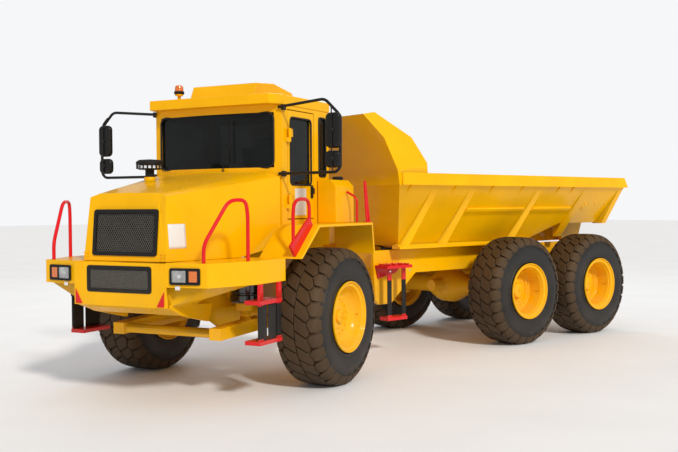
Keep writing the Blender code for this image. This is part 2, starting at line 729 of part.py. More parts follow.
def make_dump_body(rear):
    shell = body_shell()
    shapes = []
    hinge = (DUMP_HINGE_Y, DUMP_HINGE_Z)
    rail_outline = [
        (RAIL_FRONT_Y + 0.02, RAIL_Z),
        (RAIL_REAR_LOW_Y, RAIL_Z),
        (RAIL_REAR_TOP_Y, RAIL_Z + RAIL_HEIGHT),
        (RAIL_FRONT_Y + 0.02, RAIL_Z + RAIL_HEIGHT),
    ]
    foot = FLOOR_Z - 0.04
    cutters = []
    for _, side in both_sides():
        shapes.append(side_plate("rail", side * (RAIL_OUT_X - RAIL_DEPTH / 2), rail_outline, RAIL_DEPTH))
        for y in RIB_YS:
            low_z = foot if y < RAMP_Y else TAIL_FLOOR_Z - 0.22
            rib = [
                (side_x(FLOOR_Z) - 0.03, low_z),
                (side_x(FLOOR_Z) + RIB_DEPTH, low_z),
                (side_x(RAIL_Z) + RIB_DEPTH - 0.035, RAIL_Z + 0.03),
                (side_x(RAIL_Z) - 0.03, RAIL_Z + 0.03),
                (side_x(FLOOR_Z) - 0.03, FLOOR_Z - 0.01),
            ]
            if y >= RAMP_Y:
                rib[0] = (side_x(TAIL_FLOOR_Z) - 0.14, low_z)
                rib[1] = (side_x(low_z) + RIB_DEPTH + 0.03, low_z)
                rib[4] = (side_x(TAIL_FLOOR_Z) - 0.14, TAIL_FLOOR_Z - 0.01)
            shapes.append(cross_plate("rib", y, mirrored(side, rib), RIB_WIDTH))
        post = [
            (side_x(TAIL_FLOOR_Z) - 0.05, TAIL_FLOOR_Z - 0.03),
            (side_x(TAIL_FLOOR_Z) + 0.13, TAIL_FLOOR_Z - 0.03),
            (side_x(RAIL_Z) + 0.03, RAIL_Z + 0.03),
            (side_x(RAIL_Z) - 0.03, RAIL_Z + 0.03),
        ]
        shapes.append(cross_plate("post", TAIL_Y - 0.03, mirrored(side, post), 0.11))
        flange = [
            (FLOOR_HALF - 0.06, FLOOR_Z - 0.055),
            (FLOOR_HALF + 0.09, FLOOR_Z - 0.055),
            (FLOOR_HALF + 0.09, FLOOR_Z - 0.03),
            (FLOOR_HALF + 0.02, FLOOR_Z + 0.02),
            (FLOOR_HALF - 0.06, FLOOR_Z - 0.01),
        ]
        beam = cross_plate(
            "flange", (FLOOR_FRONT_Y + RAMP_Y) / 2, mirrored(side, flange), RAMP_Y - FLOOR_FRONT_Y + 0.10
        )
        shapes.append(beam)
        sill = [
            (FLOOR_FRONT_Y + 0.10, REAR_FRAME_TOP + RUNNING_GAP),
            (RAMP_TOP_Y + 0.80, REAR_FRAME_TOP + RUNNING_GAP + 0.015),
            (RAMP_TOP_Y + 0.95, TAIL_FLOOR_Z - 0.005),
            (RAMP_TOP_Y, TAIL_FLOOR_Z - 0.005),
            (RAMP_Y, FLOOR_Z - 0.005),
            (FLOOR_FRONT_Y + 0.10, FLOOR_Z - 0.005),
        ]
        shapes.append(side_plate("sill", side * SILL_X, sill, 0.08))
        lug_x = side * (REAR_RAIL_X + RUNNING_GAP + 0.03)
        lug = [(DUMP_HINGE_Y + 0.32, TAIL_FLOOR_Z - 0.005), (DUMP_HINGE_Y - 0.36, TAIL_FLOOR_Z - 0.005)]
        lug += arc(hinge, 0.11, 190, 350, 8)
        shapes.append(side_plate("lug", lug_x, lug, 0.06))
        eye = [
            (HOIST_EYE[0] - 0.16, TAIL_FLOOR_Z - 0.005),
            (HOIST_EYE[0] - 0.07, HOIST_EYE[1] - 0.04),
            (HOIST_EYE[0] + 0.07, HOIST_EYE[1] - 0.04),
            (HOIST_EYE[0] + 0.20, TAIL_FLOOR_Z - 0.005),
        ]
        shapes.append(side_plate("eye_bracket", side * (HOIST_X - 0.075), eye, 0.03))
        cutters.append(
            cylinder(
                "hinge_hole",
                (side * (REAR_RAIL_X - 0.02), *hinge),
                (side * (REAR_RAIL_X + 0.20), *hinge),
                bore(DUMP_PIN_RADIUS, 24),
                24,
            )
        )
    shapes.append(
        box(
            "ramp_tie", (-SILL_X, RAMP_TOP_Y + 0.02, TAIL_FLOOR_Z - 0.12), (SILL_X, RAMP_TOP_Y + 0.12, TAIL_FLOOR_Z - 0.01)
        )
    )
    body = joined("dump_body", shell, shapes, cutters)
    finish(body, "yellow_paint", rear)
    on_axis("dump_hinge", (0, *hinge), rear, [body])


# ---- cylinders ----------------------------------------------------------------------------------
def make_cylinder_pair(names, ends, radii, lengths, parent, up):
    """A barrel pivoted at its base and the rod that slides in it, drawn on the line from base to eye."""
    barrel_name, rod_name = names
    reach, rod_length = lengths
    base = Vector(ends[0])
    eye = Vector(ends[1])
    barrel_radius, rod_radius = radii
    along = (eye - base).normalized()
    across = Vector(up)
    end = base + along * reach
    ring_half = across * EYE_HALF_WIDTH
    clear = across * 4 * EYE_HALF_WIDTH
    eye_ring = cylinder("base_eye", base - ring_half, base + ring_half, barrel_radius + 0.012, 16)
    barrel = cylinder(barrel_name, base, end, barrel_radius, 16)
    mouth = end - along * (reach - BARREL_BOTTOM)
    cuts = [
        cylinder("bore", mouth, end + along * 0.05, bore(rod_radius, 24), 24),
        cylinder("base_hole", base - clear, base + clear, bore(BASE_PIN_RADIUS, 24), 24),
    ]
    barrel = joined(barrel_name, barrel, [eye_ring], cuts)
    finish(barrel, "yellow_paint", parent, smooth=True)
    rod = cylinder(rod_name, eye - along * rod_length, eye, rod_radius, 24)
    ring = cylinder("rod_eye", eye - ring_half, eye + ring_half, EYE_RADIUS, 16)
    rod = joined(rod_name, rod, [ring])
    finish(rod, "bare_steel", parent, smooth=True)
    on_axis(f"{barrel_name}_pivot", base, parent, [barrel, rod])


def make_hoists(rear):
    for side_name, side in both_sides():
        base = (side * HOIST_X, *HOIST_BASE)
        eye = (side * HOIST_X, *HOIST_EYE)
        span = math.dist(HOIST_BASE, HOIST_EYE)
        make_cylinder_pair(
            (f"hoist_barrel_{side_name}", f"hoist_rod_{side_name}"),
            (base, eye),
            (HOIST_BARREL_RADIUS, HOIST_ROD_RADIUS),
            (span - HOIST_ROD_SHOWN, span - BARREL_BOTTOM - ROD_BOTTOM_GAP),
            rear,
            (1.0, 0.0, 0.0),
        )


def make_steering(front):
    """Each steering cylinder runs from the front frame to an ear on the hitch, which stays in line with the rear."""
    turn = Matrix.Rotation(-REST_ARTICULATION, 3, "Z")
    for side_name, side in both_sides():
        base = (side * STEER_BASE[0], STEER_BASE[1], STEER_Z)
        eye = turn @ Vector((side * STEER_EYE[0], STEER_EYE[1], STEER_Z))
        make_cylinder_pair(
            (f"steering_barrel_{side_name}", f"steering_rod_{side_name}"),
            (base, eye),
            (STEER_BARREL_RADIUS, STEER_ROD_RADIUS),
            (STEER_BARREL_LENGTH, STEER_ROD_LENGTH),
            front,
            (0.0, 0.0, 1.0),
        )


# ---- hitch --------------------------------------------------------------------------------------
def make_hitch(rear):
    """The hitch turns with the rear unit's heading: a boss on the steering pin and a tube in the rear bulkhead."""
    boss = cylinder("boss", (0, 0, HITCH_BOSS_Z[0]), (0, 0, HITCH_BOSS_Z[1]), HITCH_BOSS_RADIUS, 24)
    shoulder_y = REAR_FRAME_NOSE_Y + BULKHEAD_INSET - SEAT
    tail_y = REAR_FRAME_NOSE_Y + 0.26
    neck = cylinder("neck", (0, 0.05, HITCH_TUBE_Z), (0, shoulder_y, HITCH_TUBE_Z), HITCH_TUBE_RADIUS, 24)
    spigot = cylinder(
        "spigot", (0, shoulder_y - 0.02, HITCH_TUBE_Z), (0, tail_y, HITCH_TUBE_Z), HITCH_SPIGOT_RADIUS, 24
    )
    nut = cylinder("nut", (0, tail_y - 0.05, HITCH_TUBE_Z), (0, tail_y, HITCH_TUBE_Z), HITCH_TUBE_RADIUS, 24)
    ear_z = STEER_Z - EYE_HALF_WIDTH - RUNNING_GAP - 0.015
    ears = level_plate(
        "ears",
        ear_z,
        [
            (-0.34, 0.03), (-0.34, 0.16), (-0.14, 0.34), (0.14, 0.34), (0.34, 0.16), (0.34, 0.03), (0.12, -0.08), (-0.12, -0.08)
        ],
        0.03,
    )
    hole = cylinder("pin_hole", (0, 0, 0.6), (0, 0, 1.3), bore(STEER_PIN_RADIUS, 24), 24)
    hitch = joined("articulation_hitch", boss, [neck, spigot, nut, ears], [hole])
    finish(hitch, "cast_iron", rear, smooth=True)


# ---- front frame --------------------------------------------------------------------------------
def make_front_frame(front):
    low, high = FRONT_FRAME_Z
    inner = FRONT_RAIL_X - FRONT_RAIL_WALL
    outline = [
        (FRONT_FRAME_NOSE_Y, 1.0), (FRONT_FRAME_NOSE_Y, high), (-0.55, high), (-0.55, low), (-2.75, low)
    ]
    shapes = []
    for _, side in both_sides():
        shapes.append(
            side_plate("rail", side * (FRONT_RAIL_X - FRONT_RAIL_WALL / 2), outline, FRONT_RAIL_WALL)
        )
    for y0, y1, z0, z1 in ((-2.98, -2.80, low + 0.06, high - 0.02), (-1.30, -1.16, low + 0.06, low + 0.16)):
        shapes.append(box("cross", (-inner - 0.01, y0, z0), (inner + 0.01, y1, z1)))
    gap = 0.004
    ears = []
    for z in (HITCH_BOSS_Z[0] - gap - EAR_THICKNESS / 2, HITCH_BOSS_Z[1] + gap + EAR_THICKNESS / 2):
        edge = FRONT_RAIL_X - 0.012
        ear = [(-edge, -1.08), (edge, -1.08), (edge, -0.54)]
        ear += arc((0, 0), 0.17, 0, 180, 6)
        ear += [(-edge, -0.54)]
        ears.append(level_plate("ear", z, ear, EAR_THICKNESS))
    shapes += ears[1:]
    pin = cylinder(
        "pin", (0, 0, HITCH_BOSS_Z[0] - 0.06), (0, 0, HITCH_BOSS_Z[1] + 0.06), STEER_PIN_RADIUS, 24
    )
    shapes.append(pin)
    webs = [
        side_plate(
            "web",
            side * (FRONT_RAIL_X - FRONT_RAIL_WALL / 2),
            [
                (-1.12, HITCH_BOSS_Z[0] - 0.05), (-0.52, HITCH_BOSS_Z[0] - 0.05), (-0.52, HITCH_BOSS_Z[1] + 0.05), (-1.12, HITCH_BOSS_Z[1] + 0.05)
            ],
            FRONT_RAIL_WALL + 0.006,
        )
        for _, side in both_sides()
    ]
    shapes += webs
    for _, side in both_sides():
        x = side * STEER_BASE[0]
        y = STEER_BASE[1]
        shapes.append(
            cylinder(
                "steer_pin", (x, y, HITCH_BOSS_Z[0] - 0.03), (x, y, HITCH_BOSS_Z[1] + 0.03), BASE_PIN_RADIUS, 24
            )
        )
    for _, side in both_sides():
        for y in CAB_POST_Y:
            x = side * CAB_POST_X
            shapes.append(
                box("cab_post", (x - 0.05, y - 0.06, high - 0.04), (x + 0.05, y + 0.06, CAB_FLOOR_Z - SEAT))
            )
    frame = joined("front_frame", ears[0], shapes)
    finish(frame, "yellow_paint", front)


def make_front_axle(front):
    """The front drive axle with its leading arms and the two suspension struts."""
    housing = turned_at("housing", axle_profile(FRONT_DISC_OFFSET), FRONT_AXLE_Y, AXLE_Z, 20)
    nose = cylinder(
        "nose", (0, FRONT_AXLE_Y, AXLE_Z), (0, FRONT_AXLE_Y + 0.40, AXLE_Z + 0.02), 0.13, 16, 0.085
    )
    shapes = [nose]
    for _, side in both_sides():
        arm = [
            (FRONT_AXLE_Y + 0.10, AXLE_Z - 0.10),
            (FRONT_AXLE_Y + 0.10, AXLE_Z + 0.02),
            (FRONT_AXLE_Y - 0.50, AXLE_Z + 0.02),
            (FRONT_AXLE_Y - 1.30, AXLE_Z - 0.02),
            (FRONT_AXLE_Y - 1.30, AXLE_Z - 0.14),
        ]
        shapes.append(side_plate("arm", side * 0.62, arm, 0.14))
    tie_y = FRONT_AXLE_Y - 1.22
    shapes.append(cylinder("arm_tie", (-0.66, tie_y, AXLE_Z - 0.08), (0.66, tie_y, AXLE_Z - 0.08), 0.05, 16))
    for side_name, side in both_sides():
        make_wheel(
            "front", side_name, side, (side * TRACK / 2, FRONT_AXLE_Y, AXLE_Z), front, FRONT_DISC_OFFSET
        )
        foot = (side * 0.62, FRONT_AXLE_Y - 0.74, AXLE_Z - 0.05)
        strut_top = BOX_LOW_Z - 0.02
        strut = cylinder("strut", foot, (foot[0], foot[1], strut_top), 0.055, 16)
        collar = cylinder("collar", (foot[0], foot[1], 0.86), (foot[0], foot[1], 1.02), 0.10, 20)
        bracket = box(
            "bracket",
            (min(side * (FRONT_RAIL_X + SEAT), side * 0.66), foot[1] - 0.05, 0.98),
            (max(side * (FRONT_RAIL_X + SEAT), side * 0.66), foot[1] + 0.05, 1.06),
        )
        shapes += [strut, collar, bracket]
    axle = joined("front_axle", housing, shapes)
    finish(axle, "yellow_paint", front, smooth=True)


def make_engine(front):
    """One plain block on four feet that stand on the frame's rails."""
    block = box("engine", (-ENGINE_HALF, -3.15, 1.14), (ENGINE_HALF, -2.08, 1.98))
    feet = []
    for _, side in both_sides():
        x0, x1 = sorted((side * (ENGINE_HALF - 0.03), side * (FRONT_RAIL_X - 0.01)))
        for y in ENGINE_FOOT_Y:
            feet.append(box("foot", (x0, y - 0.06, FRONT_FRAME_Z[1] + SEAT), (x1, y + 0.06, 1.20)))
    block = joined("engine", block, feet)
    finish(block, "cast_iron", front)


# ---- front body ---------------------------------------------------------------------------------
def make_front_fascia(front):
    """The lower front panel with the lamp boxes and decks each side, as one welded front."""
    low_z = PANEL_LOW_Z
    shapes = []
    panel = box(
        "panel", (-PANEL_HALF, PANEL_FRONT_Y, low_z), (PANEL_HALF, PANEL_FRONT_Y + 0.03, DECK_Z - 0.006)
    )
    for _, side in both_sides():
        outline = [
            (PANEL_HALF - 0.01, PANEL_FRONT_Y + 0.005),
            (BOX_FRONT_X, BOX_FRONT_Y),
            (BOX_BEND_X, BOX_BEND_Y),
            (BOX_BEND_X, BOX_REAR_Y),
            (PANEL_HALF - 0.01, BOX_REAR_Y),
        ]
        outline = mirrored(side, outline)
        middle = (BOX_LOW_Z + DECK_Z) / 2
        shapes.append(level_plate("lamp_box", middle, outline, DECK_Z - BOX_LOW_Z))
        wing = [
            (BOX_FRONT_Y + 0.01, BOX_LOW_Z + 0.02),
            (BOX_FRONT_Y + 0.04, low_z),
            (BOX_FRONT_Y + 0.40, low_z - 0.02),
            (BOX_REAR_Y, BOX_LOW_Z + 0.02),
        ]
        shapes.append(side_plate("wing", side * (PANEL_HALF - 0.03), wing, 0.05))
        belly = [
            (side * (PANEL_HALF - 0.02), BOX_FRONT_Y + 0.04, low_z + 0.01),
            (side * (BOX_FRONT_X - 0.01), BOX_FRONT_Y + 0.05, BOX_LOW_Z + 0.01),
            (side * (BOX_BEND_X - 0.02), BOX_BEND_Y, BOX_LOW_Z + 0.01),
            (side * (PANEL_HALF - 0.02), BOX_BEND_Y - 0.2, low_z + 0.01),
        ]
        shapes.append(hull_solid("belly", belly))
    cross = box(
        "sill_top", (-PANEL_HALF - 0.02, PANEL_FRONT_Y + 0.01, DECK_Z - 0.04), (PANEL_HALF + 0.02, HOOD_FRONT_Y + 0.16, DECK_Z - 0.003)
    )
    shapes.append(cross)
    skid = [
        (PANEL_FRONT_Y + 0.01, low_z + 0.03),
        (PANEL_FRONT_Y + 0.25, low_z - 0.09),
        (FRONT_FRAME_NOSE_Y + 0.55, low_z - 0.20),
        (FRONT_FRAME_NOSE_Y + 0.62, low_z - 0.02),
    ]
    for _, side in both_sides():
        shapes.append(side_plate("skid", side * (PANEL_HALF - 0.04), skid, 0.06))
    shapes.append(
        plate(
            "chin",
            [
                (-PANEL_HALF, PANEL_FRONT_Y + 0.015, low_z + 0.015),
                (PANEL_HALF, PANEL_FRONT_Y + 0.015, low_z + 0.015),
                (PANEL_HALF - 0.05, PANEL_FRONT_Y + 0.25, low_z - 0.085),
                (-PANEL_HALF + 0.05, PANEL_FRONT_Y + 0.25, low_z - 0.085),
            ],
            0.02,
        )
    )
    tie_y = FRONT_FRAME_NOSE_Y - SEAT
    shapes.append(box("mount", (-FRONT_RAIL_X, PANEL_FRONT_Y + 0.02, 0.98), (FRONT_RAIL_X, tie_y, 1.10)))
    opening = box(
        "grille_hole",
        (-GRILLE_HALF, PANEL_FRONT_Y - 0.05, LOWER_GRILLE_Z[0]),
        (GRILLE_HALF, PANEL_FRONT_Y + 0.10, LOWER_GRILLE_Z[1]),
    )
    fascia = joined("front_fascia", panel, shapes, [opening])
    finish(fascia, "yellow_paint", front)
    grille = box(
        "lower_grille",
        (-GRILLE_HALF + SEAT, PANEL_FRONT_Y + 0.012, LOWER_GRILLE_Z[0] + SEAT),
        (GRILLE_HALF - SEAT, PANEL_FRONT_Y + 0.028, LOWER_GRILLE_Z[1] - SEAT),
    )
    finish(grille, "black_paint", front)


def hull_solid(name, points):
    """The convex block under a lamp box, from its sloping underside up into the box."""

    def build(work):
        made = [work.verts.new(point) for point in points]
        made += [work.verts.new((x, y, BOX_LOW_Z + 0.03)) for x, y, _ in points]
        bmesh.ops.convex_hull(work, input=made)

    return mesh_object(name, build)


def hood_rear(x):
    """The hood's rear edge, a gap ahead of the cab's bowed front."""
    return cab_front(x) - HOOD_REAR_GAP


def make_hood(front):
    """A tapered shell over the engine, open below and behind, with the grille opening in its nose."""
    foot = DECK_Z + HOOD_FOOT_GAP
    nose_y = HOOD_FRONT_Y
    f_half, r_half = HOOD_FRONT_HALF, HOOD_REAR_HALF
    places = {
        "nose_low": (f_half, nose_y - 0.03, foot),
        "nose_top": (f_half - 0.04, nose_y + 0.03, HOOD_FRONT_TOP_Z - 0.02),
        "rear_low": (r_half, hood_rear(r_half), foot + 0.10),
        "mid_low": (f_half + 0.62 * (r_half - f_half), nose_y + 0.95, foot),
        "rear_side": (r_half, hood_rear(r_half), HOOD_REAR_TOP_Z - 0.06),
        "rear_shoulder": (r_half - 0.16, hood_rear(r_half - 0.16), HOOD_REAR_TOP_Z),
        "nose_shoulder": (f_half - 0.14, nose_y + 0.05, HOOD_FRONT_TOP_Z + 0.015),
        "mid_nose_low": (0.0, nose_y - 0.03, foot),
        "mid_nose_top": (0.0, nose_y + 0.05, HOOD_FRONT_TOP_Z + 0.02),
        "mid_rear": (0.0, hood_rear(0.0), HOOD_REAR_TOP_Z + 0.01),
    }
    faces = (
        ("mid_nose_low", "nose_low", "nose_top", "nose_shoulder", "mid_nose_top"),
        ("nose_low", "mid_low", "rear_low", "rear_side", "nose_top"),
        ("nose_top", "rear_side", "rear_shoulder", "nose_shoulder"),
        ("nose_shoulder", "rear_shoulder", "mid_rear", "mid_nose_top"),
    )

    def build(work):
        made = {name: work.verts.new(place) for name, place in places.items()}
        for face in faces:
            work.faces.new([made[name] for name in face])

    shell = mesh_object("hood", build)
    mirror = shell.modifiers.new("halves", "MIRROR")
    mirror.merge_threshold = 0.0001
    wall = shell.modifiers.new("wall", "SOLIDIFY")
    wall.thickness = HOOD_WALL
    wall.offset = -1.0
    wall.use_even_offset = True
    opening = box(
        "grille_hole",
        (-GRILLE_HALF, nose_y - 0.20, UPPER_GRILLE_Z[0]),
        (GRILLE_HALF, nose_y + 0.20, UPPER_GRILLE_Z[1]),
    )
    boss = cylinder(
        "boss", (*CLEANER_XY, CLEANER_FOOT_Z - 0.09), (*CLEANER_XY, CLEANER_FOOT_Z - SEAT), 0.06, 16
    )
    hood = joined("hood", shell, [boss], [opening])
    finish(hood, "yellow_paint", front)
    slope = 0.06 / (HOOD_FRONT_TOP_Z - 0.02 - foot)
    low_y = nose_y - 0.03 + slope * (UPPER_GRILLE_Z[0] - foot) + 0.002
    high_y = nose_y - 0.03 + slope * (UPPER_GRILLE_Z[1] - foot) + 0.002
    mesh = side_plate(
        "upper_grille",
        0.0,
        [
            (low_y, UPPER_GRILLE_Z[0] + SEAT),
            (low_y + 0.014, UPPER_GRILLE_Z[0] + SEAT),
            (high_y + 0.014, UPPER_GRILLE_Z[1] - SEAT),
            (high_y, UPPER_GRILLE_Z[1] - SEAT),
        ],
        2 * (GRILLE_HALF - SEAT),
    )
    finish(mesh, "black_paint", front)
    foot_z = CLEANER_FOOT_Z
    stack = cylinder("air_cleaner", (*CLEANER_XY, foot_z), (*CLEANER_XY, foot_z + 0.08), 0.05, 16)
    bowl = cylinder("bowl", (*CLEANER_XY, foot_z + 0.075), (*CLEANER_XY, foot_z + 0.14), 0.12, 20, 0.13)
    cap = cylinder("cap", (*CLEANER_XY, foot_z + 0.135), (*CLEANER_XY, foot_z + 0.19), 0.145, 20, 0.10)
    cleaner = joined("air_cleaner", stack, [bowl, cap])
    finish(cleaner, "black_paint", front, smooth=True)
    on_axis("hood_hinge", (0, HOOD_HINGE_Y, HOOD_HINGE_Z), front, [hood, mesh, cleaner])


# ---- cab ----------------------------------------------------------------------------------------
def cab_front(x, inset=0.0):
    """The bowed front of the cab at a distance from the middle."""
    return CAB_FRONT_Y + inset - CAB_BOW * (1 - (x / (CAB_HALF - inset)) ** 2)


def windscreen_outline(inset):
    """The cab's plan outline at the front: a gentle curve between the pillars."""
    half = CAB_HALF - inset
    xs = [half * (i / 4 - 1) for i in range(9)]
    return [(x, cab_front(x, inset)) for x in xs]


def cab_plan(inset):
    rear = CAB_REAR_Y - inset
    half = CAB_HALF - inset
    return windscreen_outline(inset) + [(half, rear), (-half, rear)]


def hinge_lugs():
    """The fixed halves of the door's hinges: one lug on the cab's corner pillar under each knuckle."""
    axis_y = DOOR_Y[0] - DOOR_HINGE_AHEAD
    lugs = []
    for z in DOOR_HINGE_ZS:
        high = z - KNUCKLE_HALF - SEAT
        low = high - KNUCKLE_HALF
        lugs.append(
            cylinder("lug", (DOOR_HINGE_X, axis_y, low), (DOOR_HINGE_X, axis_y, high), KNUCKLE_RADIUS, 12)
        )
        lugs.append(
            box(
                "lug_arm", (CAB_HALF - 0.02, axis_y - 0.035, low + 0.002), (
                    DOOR_HINGE_X, axis_y - 0.002, high - 0.002
                )
            )
        )
    return lugs


def make_cab(front):
    middle = (CAB_FLOOR_Z + CAB_TOP_Z) / 2
    height = CAB_TOP_Z - CAB_FLOOR_Z
    outer = level_plate("outer", middle, cab_plan(0.0), height)
    hollow = level_plate("hollow", middle + CAB_WALL, cab_plan(CAB_WALL), height)
    screen = box(
        "screen_hole",
        (-SCREEN_HALF, CAB_FRONT_Y - 0.3, WINDOW_LOW_Z),
        (SCREEN_HALF, CAB_FRONT_Y + 0.12, WINDOW_TOP_Z),
    )
    door_hole = box(
        "door_hole",
        (CAB_HALF - CAB_WALL - 0.05, DOOR_Y[0] - DOOR_GAP, DOOR_Z[0] - DOOR_GAP),
        (CAB_HALF + 0.05, DOOR_Y[1] + DOOR_GAP, DOOR_Z[1] + DOOR_GAP),
    )
    quarter = box(
        "quarter_hole",
        (CAB_HALF - 0.1, QUARTER_WINDOW_Y[0], SIDE_WINDOW_Z),
        (CAB_HALF + 0.05, QUARTER_WINDOW_Y[1], WINDOW_TOP_Z),
    )
    right = box(
        "right_hole",
        (-CAB_HALF - 0.05, RIGHT_WINDOW_Y[0], SIDE_WINDOW_Z),
        (-CAB_HALF + 0.1, RIGHT_WINDOW_Y[1], WINDOW_TOP_Z - RIGHT_WINDOW_DROP),
    )
    back = box(
        "back_hole",
        (-REAR_WINDOW_HALF, CAB_REAR_Y - 0.1, SIDE_WINDOW_Z),
        (REAR_WINDOW_HALF, CAB_REAR_Y + 0.05, WINDOW_TOP_Z),
    )
    hollows = [hollow, screen, door_hole, quarter, right, back]
    shell = joined("cab_shell", outer, hinge_lugs(), hollows)
    finish(shell, "yellow_paint", front)
    roof_base = CAB_TOP_Z + SEAT
    plan = [
        (-VISOR_HALF, VISOR_FRONT_Y),
        (VISOR_HALF, VISOR_FRONT_Y),
        (CAB_HALF + 0.01, CAB_FRONT_Y + 0.05),
        (CAB_HALF + 0.01, CAB_REAR_Y + 0.01),
        (-CAB_HALF - 0.01, CAB_REAR_Y + 0.01),
        (-CAB_HALF - 0.01, CAB_FRONT_Y + 0.05),
    ]
    roof = level_plate("cab_roof", roof_base + ROOF_THICKNESS / 2, plan, ROOF_THICKNESS)
    post = cylinder("post", (-0.62, -1.74, roof_base + 0.05), (-0.62, -1.74, roof_base + 0.20), 0.02, 12)
    lamp = cylinder(
        "lamp", (-0.62, -1.74, roof_base + 0.19), (-0.62, -1.74, roof_base + 0.28), 0.05, 16, 0.035
    )
    roof = joined("cab_roof", roof, [post, lamp])
    finish(roof, "yellow_paint", front)
    unit_z = roof_base + ROOF_THICKNESS + SEAT
    outline = [
        (-1.80, unit_z), (-1.72, unit_z + 0.17), (-1.35, unit_z + 0.20), (-0.92, unit_z + 0.13), (-0.86, unit_z)
    ]
    unit = side_plate("roof_unit", 0.0, outline, 0.86)
    finish(unit, "yellow_paint", front)


def make_glass(front):
    half = SCREEN_HALF - SEAT
    outline = [(x, y) for x, y in windscreen_outline(0.015) if abs(x) < half]
    edge_y = cab_front(half, 0.015)
    front_line = [(-half, edge_y)] + outline + [(half, edge_y)]
    plan = front_line + [(x, y + GLASS) for x, y in reversed(front_line)]
    middle = (WINDOW_LOW_Z + WINDOW_TOP_Z) / 2
    screen = level_plate("windscreen", middle, plan, WINDOW_TOP_Z - WINDOW_LOW_Z - 2 * SEAT)
    finish(screen, "dark_glass", front)
    pane_out = CAB_HALF - 0.010
    pane_in = CAB_HALF - 0.018
    rear_out = CAB_REAR_Y - 0.010
    rear_in = CAB_REAR_Y - 0.018
    sill = SIDE_WINDOW_Z + SEAT
    top = WINDOW_TOP_Z - SEAT
    panes = (
        (
            "side_glass_right",
            (-pane_out, RIGHT_WINDOW_Y[0] + SEAT, sill),
            (-pane_in, RIGHT_WINDOW_Y[1] - SEAT, top - RIGHT_WINDOW_DROP),
        ),
        (
            "quarter_glass_left",
            (pane_in, QUARTER_WINDOW_Y[0] + SEAT, sill),
            (pane_out, QUARTER_WINDOW_Y[1] - SEAT, top),
        ),
        (
            "rear_glass",
            (-REAR_WINDOW_HALF + SEAT, rear_in, sill),
            (REAR_WINDOW_HALF - SEAT, rear_out, top),
        ),
    )
    for name, low, high in panes:
        finish(box(name, low, high), "dark_glass", front)


def make_door(front):
    y0, y1 = DOOR_Y
    z0, z1 = DOOR_Z
    x0 = CAB_HALF - DOOR_THICKNESS
    panel = box("cab_door", (x0, y0, z0), (CAB_HALF, y1, z1))
    axis_y = y0 - DOOR_HINGE_AHEAD
    hinges = []
    for z in DOOR_HINGE_ZS:
        low = z - KNUCKLE_HALF
        high = z + KNUCKLE_HALF
        hinges.append(
            cylinder("hinge", (DOOR_HINGE_X, axis_y, low), (DOOR_HINGE_X, axis_y, high), KNUCKLE_RADIUS, 12)
        )
        leaf_high = (DOOR_HINGE_X, y0 + 0.09, high - 0.005)
        hinges.append(box("leaf", (CAB_HALF + 0.006, axis_y, low + 0.005), leaf_high))
        pad_high = (CAB_HALF + 0.012, y0 + 0.085, high - 0.010)
        hinges.append(box("pad", (CAB_HALF - 0.01, y0 + 0.012, low + 0.010), pad_high))
    window = box(
        "window", (x0 - 0.05, y0 + 0.06, DOOR_WINDOW_Z[0]), (CAB_HALF + 0.05, y1 - 0.07, DOOR_WINDOW_Z[1])
    )
    door = joined("cab_door", panel, hinges, [window])
    finish(door, "yellow_paint", front)
    pane = box(
        "door_glass",
        (x0 + 0.02, y0 + 0.06 + SEAT, DOOR_WINDOW_Z[0] + SEAT),
        (x0 + 0.02 + GLASS, y1 - 0.07 - SEAT, DOOR_WINDOW_Z[1] - SEAT),
    )
    finish(pane, "dark_glass", front)
    on_axis("door_hinge", (DOOR_HINGE_X, axis_y, (z0 + z1) / 2), front, [door, pane])


def make_interior(front):
    floor = CAB_FLOOR_Z + CAB_WALL + SEAT
    base = box("seat", (-0.16, -1.32, floor), (0.16, -1.02, floor + 0.42))
    cushion = box("cushion", (-0.26, -1.48, floor + 0.40), (0.26, -0.98, floor + 0.54))
    back = side_plate(
        "back", 0.0, [(-1.10, floor + 0.50), (-0.96, floor + 0.50), (-0.88, floor + 1.20), (-0.99, floor + 1.20)], 0.50
    )
    seat = joined("seat", base, [cushion, back])
    finish(seat, "seat_fabric", front)
    column = cylinder("steering_wheel", (0, -1.76, floor + 0.05), (0, -1.66, floor + 0.74), 0.035, 12)
    hub = Vector((0, -1.66, floor + 0.74))
    tilt = Vector((0, 0.10, 0.74)).normalized()
    disc = cylinder("disc", hub - tilt * 0.012, hub + tilt * 0.012, 0.20, 20)
    pod = box("pod", (-0.30, -1.84, floor), (0.30, -1.73, floor + 0.66))
    wheel = joined("steering_wheel", column, [disc, pod])
    finish(wheel, "black_paint", front)


